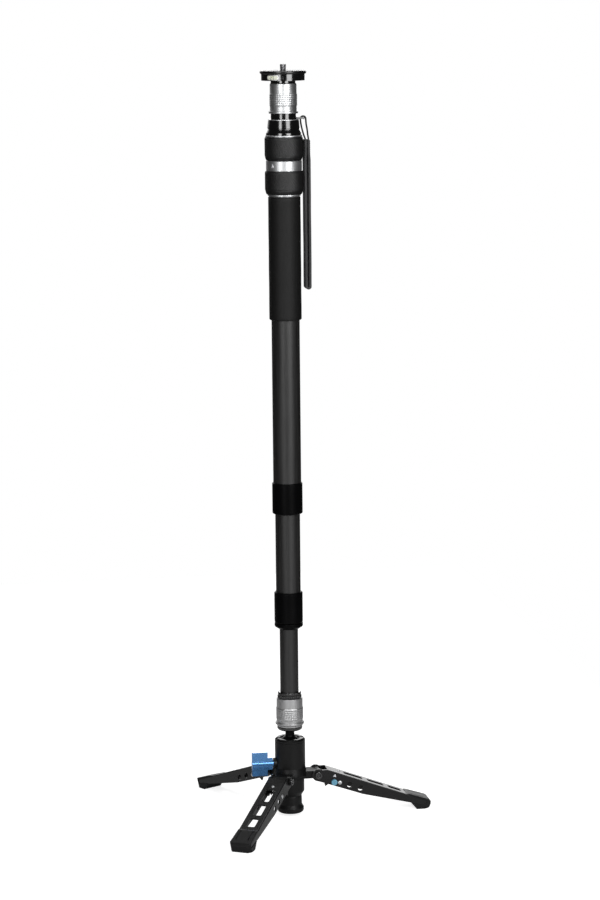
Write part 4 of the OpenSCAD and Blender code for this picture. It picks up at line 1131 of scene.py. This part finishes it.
def leg_boot(number):
    """Rubber foot hooked round a leg's tip, round at its toe and along its top."""
    node = "leg_foot_%d" % number
    boot = machined(node, 0.0)
    boot.data.transform(leg_place(number).inverted())
    for vertex in boot.data.vertices:
        at = vertex.co / MM
        grown = min(1.0, (at.x - BOOT_START) / BOOT_TAPER)
        slim = BOOT_SLIM + (1.0 - BOOT_SLIM) * grown
        if at.z > LEG_TOP:
            at.z = LEG_TOP + (at.z - LEG_TOP) * (BOOT_LOW + (1.0 - BOOT_LOW) * grown)
        vertex.co = Vector((at.x, at.y * slim, at.z)) * MM
    boot.data.transform(leg_place(number))
    rounded_edges(boot, number, 1.0, lambda at: at.z > LEG_TOP + 0.3 and abs(at.y) > 7.0)
    for side in GROOVE_SIDES:
        toe_groove(boot, number, side)
    dress(soften(boot, 0.3), node, FOOT_RUBBER)


BUTTON_CAP_Y = -9.4


def button_spring(number):
    """Coil behind a button, given a mesh of its own; the real coil shortens as the button goes in."""
    node = "leg_spring_%d" % number
    spring = machined(node, 0.0, 60.0)
    dress(spring, node, DARK_STEEL)
    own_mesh(spring)


def lock_button(number):
    """Blue cap, with a blackened stem where it runs inside the leg."""
    node = "leg_button_%d" % number
    button = machined(node, 0.3)
    dress(button, node, BUTTON_BLUE)
    button.data.materials.append(DARK_STEEL)
    inward = leg_place(number).inverted()
    for face in button.data.polygons:
        if (inward @ face.center).y > BUTTON_CAP_Y * MM:
            face.material_index = 1


RIVET = dome(2.2, (1.0, 0.4, 1.0))
RIVET_PLACES = [(23.9, -9.92, -0.9), (23.9, 9.92, -0.9)]
TOP_PIN = dome(1.7, (1.0, 1.0, 0.6))
PIN_PLACES = [(21.2, 0.0, 8.0)]
LOCK_ARROW = arrowhead(1.9, 1.0)
ARROW_PLACES = [(16.4, -9.9, 4.3)]


def leg_pieces(number):
    """All of one leg: channel, foot, button, spring, rivet heads, pin and the arrowhead at its button."""
    leg_channel(number)
    leg_boot(number)
    lock_button(number)
    button_spring(number)
    leg_trim("leg_rivet", number, RIVET, RIVET_PLACES, 0.0, 80.0, BRIGHT)
    leg_trim("leg_top_pin", number, TOP_PIN, PIN_PLACES, 0.0, 80.0, BRIGHT)
    leg_trim("leg_mark", number, LOCK_ARROW, ARROW_PLACES, 0.02, 30.0, WHITE_MARK)


for number in LEG_ANGLES:
    leg_pieces(number)
for first in (RIVET, TOP_PIN, LOCK_ARROW):
    bpy.data.objects.remove(first)


HEAD_R, HEAD_T, HEAD_FACE = 3.7, 3.0, 12.9
SOCKET_R, SOCKET_DEPTH = 1.75, 1.1
SHANK_R = 2.2


def bolt_head():
    """One pivot bolt head with its hexagon socket, facing up from its seat at the origin."""
    deselect()
    bpy.ops.mesh.primitive_cylinder_add(
        vertices=48, radius=HEAD_R * MM, depth=HEAD_T * MM, location=(0.0, 0.0, HEAD_T / 2.0 * MM))
    head = bpy.context.object
    bpy.ops.object.transform_apply(location=True)
    deselect()
    bpy.ops.mesh.primitive_cylinder_add(
        vertices=6, radius=SOCKET_R * MM, depth=2.0 * SOCKET_DEPTH * MM, location=(0.0, 0.0, HEAD_T * MM))
    socket = bpy.context.object
    bpy.ops.object.transform_apply(location=True)
    cut_away(head, socket)
    return soften(head, 1.4, 30.0, 5)


def pivot_bolts():
    """The legs' three pivot bolts: a shank and a head at each end."""
    first = bolt_head()
    under = HEAD_FACE - HEAD_T
    parts = []
    for angle in LEG_ANGLES.values():
        place = Matrix.Rotation(math.radians(angle), 4, "Z")
        place = place @ Matrix.Translation((PIVOT_R * MM, 0.0, PIVOT_Z * MM))
        for way in (90.0, -90.0):
            seat = Matrix.Rotation(math.radians(way), 4, "X") @ Matrix.Translation((0.0, 0.0, under * MM))
            parts.append(copied(first, place @ seat))
        deselect()
        bpy.ops.mesh.primitive_cylinder_add(vertices=32, radius=SHANK_R * MM, depth=2.0 * under * MM)
        shank = bpy.context.object
        shank.data.transform(place @ Matrix.Rotation(math.radians(90.0), 4, "X"))
        parts.append(soften(shank, 0.1))
    bpy.data.objects.remove(first)
    dress(joined("leg_pivot_bolt_set", *parts), "leg_pivot_bolts", BOLT_STEEL)


pivot_bolts()


# Floor, world and lights

FLOOR_STRETCH, FLOOR_SHIFT, FLOOR_DROP = (0.45, 1.0, 1.0), (0.0, 200.0, 0.0), 0.0001
FLOOR_SHADE, FLOOR_GLOW = 0.7, 0.8


def pale_floor():
    """Pale floor that keeps the part's shadow and shows white to the camera."""
    deselect()
    bpy.ops.mesh.primitive_plane_add(size=2.0, location=(0.0, 0.0, cad_low[2] - FLOOR_DROP))
    floor = shaped(FLOOR_STRETCH, FLOOR_SHIFT)
    floor.name = "floor"
    finish = bpy.data.materials.new("floor")
    finish.use_nodes = True
    tree = finish.node_tree
    shader = tree.nodes["Principled BSDF"]
    shader.inputs["Base Color"].default_value = (FLOOR_SHADE, FLOOR_SHADE, FLOOR_SHADE, 1.0)
    shader.inputs["Roughness"].default_value = 0.9
    shader.inputs["Specular IOR Level"].default_value = 0.0
    leave = tree.nodes["Material Output"]
    path = tree.nodes.new("ShaderNodeLightPath")
    glow = tree.nodes.new("ShaderNodeEmission")
    glow.inputs["Strength"].default_value = FLOOR_GLOW
    none = tree.nodes.new("ShaderNodeEmission")
    none.inputs["Strength"].default_value = 0.0
    choose = tree.nodes.new("ShaderNodeMixShader")
    tree.links.new(path.outputs["Is Camera Ray"], choose.inputs[0])
    tree.links.new(none.outputs[0], choose.inputs[1])
    tree.links.new(glow.outputs[0], choose.inputs[2])
    both = tree.nodes.new("ShaderNodeAddShader")
    tree.links.new(shader.outputs[0], both.inputs[0])
    tree.links.new(choose.outputs[0], both.inputs[1])
    tree.links.new(both.outputs[0], leave.inputs["Surface"])
    floor.data.materials.append(finish)


BACKDROP_SIDES, BACKDROP_TOP = (0.75, 0.95), (0.5, 0.25)
BACKDROP_LEVEL, ROOM_LEVEL = 1.6, 0.03


def studio_world():
    """White to the camera; a dim room with a bright backdrop to the part."""
    world = bpy.data.worlds.new("studio")
    bpy.context.scene.world = world
    world.use_nodes = True
    tree = world.node_tree
    tree.nodes.clear()
    path = tree.nodes.new("ShaderNodeLightPath")
    seen = maths(tree, "MAXIMUM", path.outputs["Is Camera Ray"], path.outputs["Is Transmission Ray"])
    place = tree.nodes.new("ShaderNodeTexCoord")
    apart = tree.nodes.new("ShaderNodeSeparateXYZ")
    tree.links.new(place.outputs["Generated"], apart.inputs["Vector"])
    back = ranged(tree, apart.outputs["Y"], *BACKDROP_SIDES)
    low = ranged(tree, apart.outputs["Z"], *BACKDROP_TOP)
    above = maths(tree, "GREATER_THAN", apart.outputs["Z"], 0.0)
    backdrop = maths(tree, "MULTIPLY", back.outputs["Result"], low.outputs["Result"])
    backdrop = maths(tree, "MULTIPLY", backdrop, above)
    level = maths(tree, "ADD", maths(tree, "MULTIPLY", backdrop, BACKDROP_LEVEL), ROOM_LEVEL)
    room = tree.nodes.new("ShaderNodeBackground")
    room.inputs["Color"].default_value = (1.0, 1.0, 1.0, 1.0)
    tree.links.new(level, room.inputs["Strength"])
    white = tree.nodes.new("ShaderNodeBackground")
    white.inputs["Color"].default_value = (1.0, 1.0, 1.0, 1.0)
    white.inputs["Strength"].default_value = 1.0
    choose = tree.nodes.new("ShaderNodeMixShader")
    tree.links.new(seen, choose.inputs[0])
    tree.links.new(room.outputs[0], choose.inputs[1])
    tree.links.new(white.outputs[0], choose.inputs[2])
    leave = tree.nodes.new("ShaderNodeOutputWorld")
    tree.links.new(choose.outputs[0], leave.inputs["Surface"])


def lamp_panel(name, place, aim, width, height, glow):
    """Soft rectangular lamp of an even brightness, facing the point aim."""
    light = bpy.data.lights.new(name, "AREA")
    light.shape = "RECTANGLE"
    light.size = width
    light.size_y = height
    light.energy = glow * math.pi * width * height
    lamp = bpy.data.objects.new(name, light)
    lamp.location = place
    lamp.rotation_euler = (Vector(aim) - Vector(place)).to_track_quat("-Z", "Y").to_euler()
    bpy.context.scene.collection.objects.link(lamp)


def softbox(name, about, distance, low, high, width, glow):
    """Upright softbox at an angle about the pole from the camera's side."""
    angle = math.radians(CAMERA_YAW + about)
    middle = (low + high) / 2.0
    place = (distance * math.sin(angle), -distance * math.cos(angle), middle)
    lamp_panel(name, place, (0.0, 0.0, middle), width, high - low, glow)


pale_floor()
studio_world()
softbox("left softbox", -23.0, 1.9, 0.28, 2.1, 0.6, 5.0)
softbox("right softbox", 33.0, 1.9, 0.28, 2.1, 0.9, 5.0)
softbox("knob lamp", 16.0, 1.9, 1.1, 2.1, 0.26, 5.0)
softbox("back softbox", 172.0, 2.2, 0.5, 1.8, 0.9, 2.0)
lamp_panel("top softbox", (0.0, 0.45, 2.3), (0.0, 0.1, 0.4), 1.0, 1.7, 2.0)
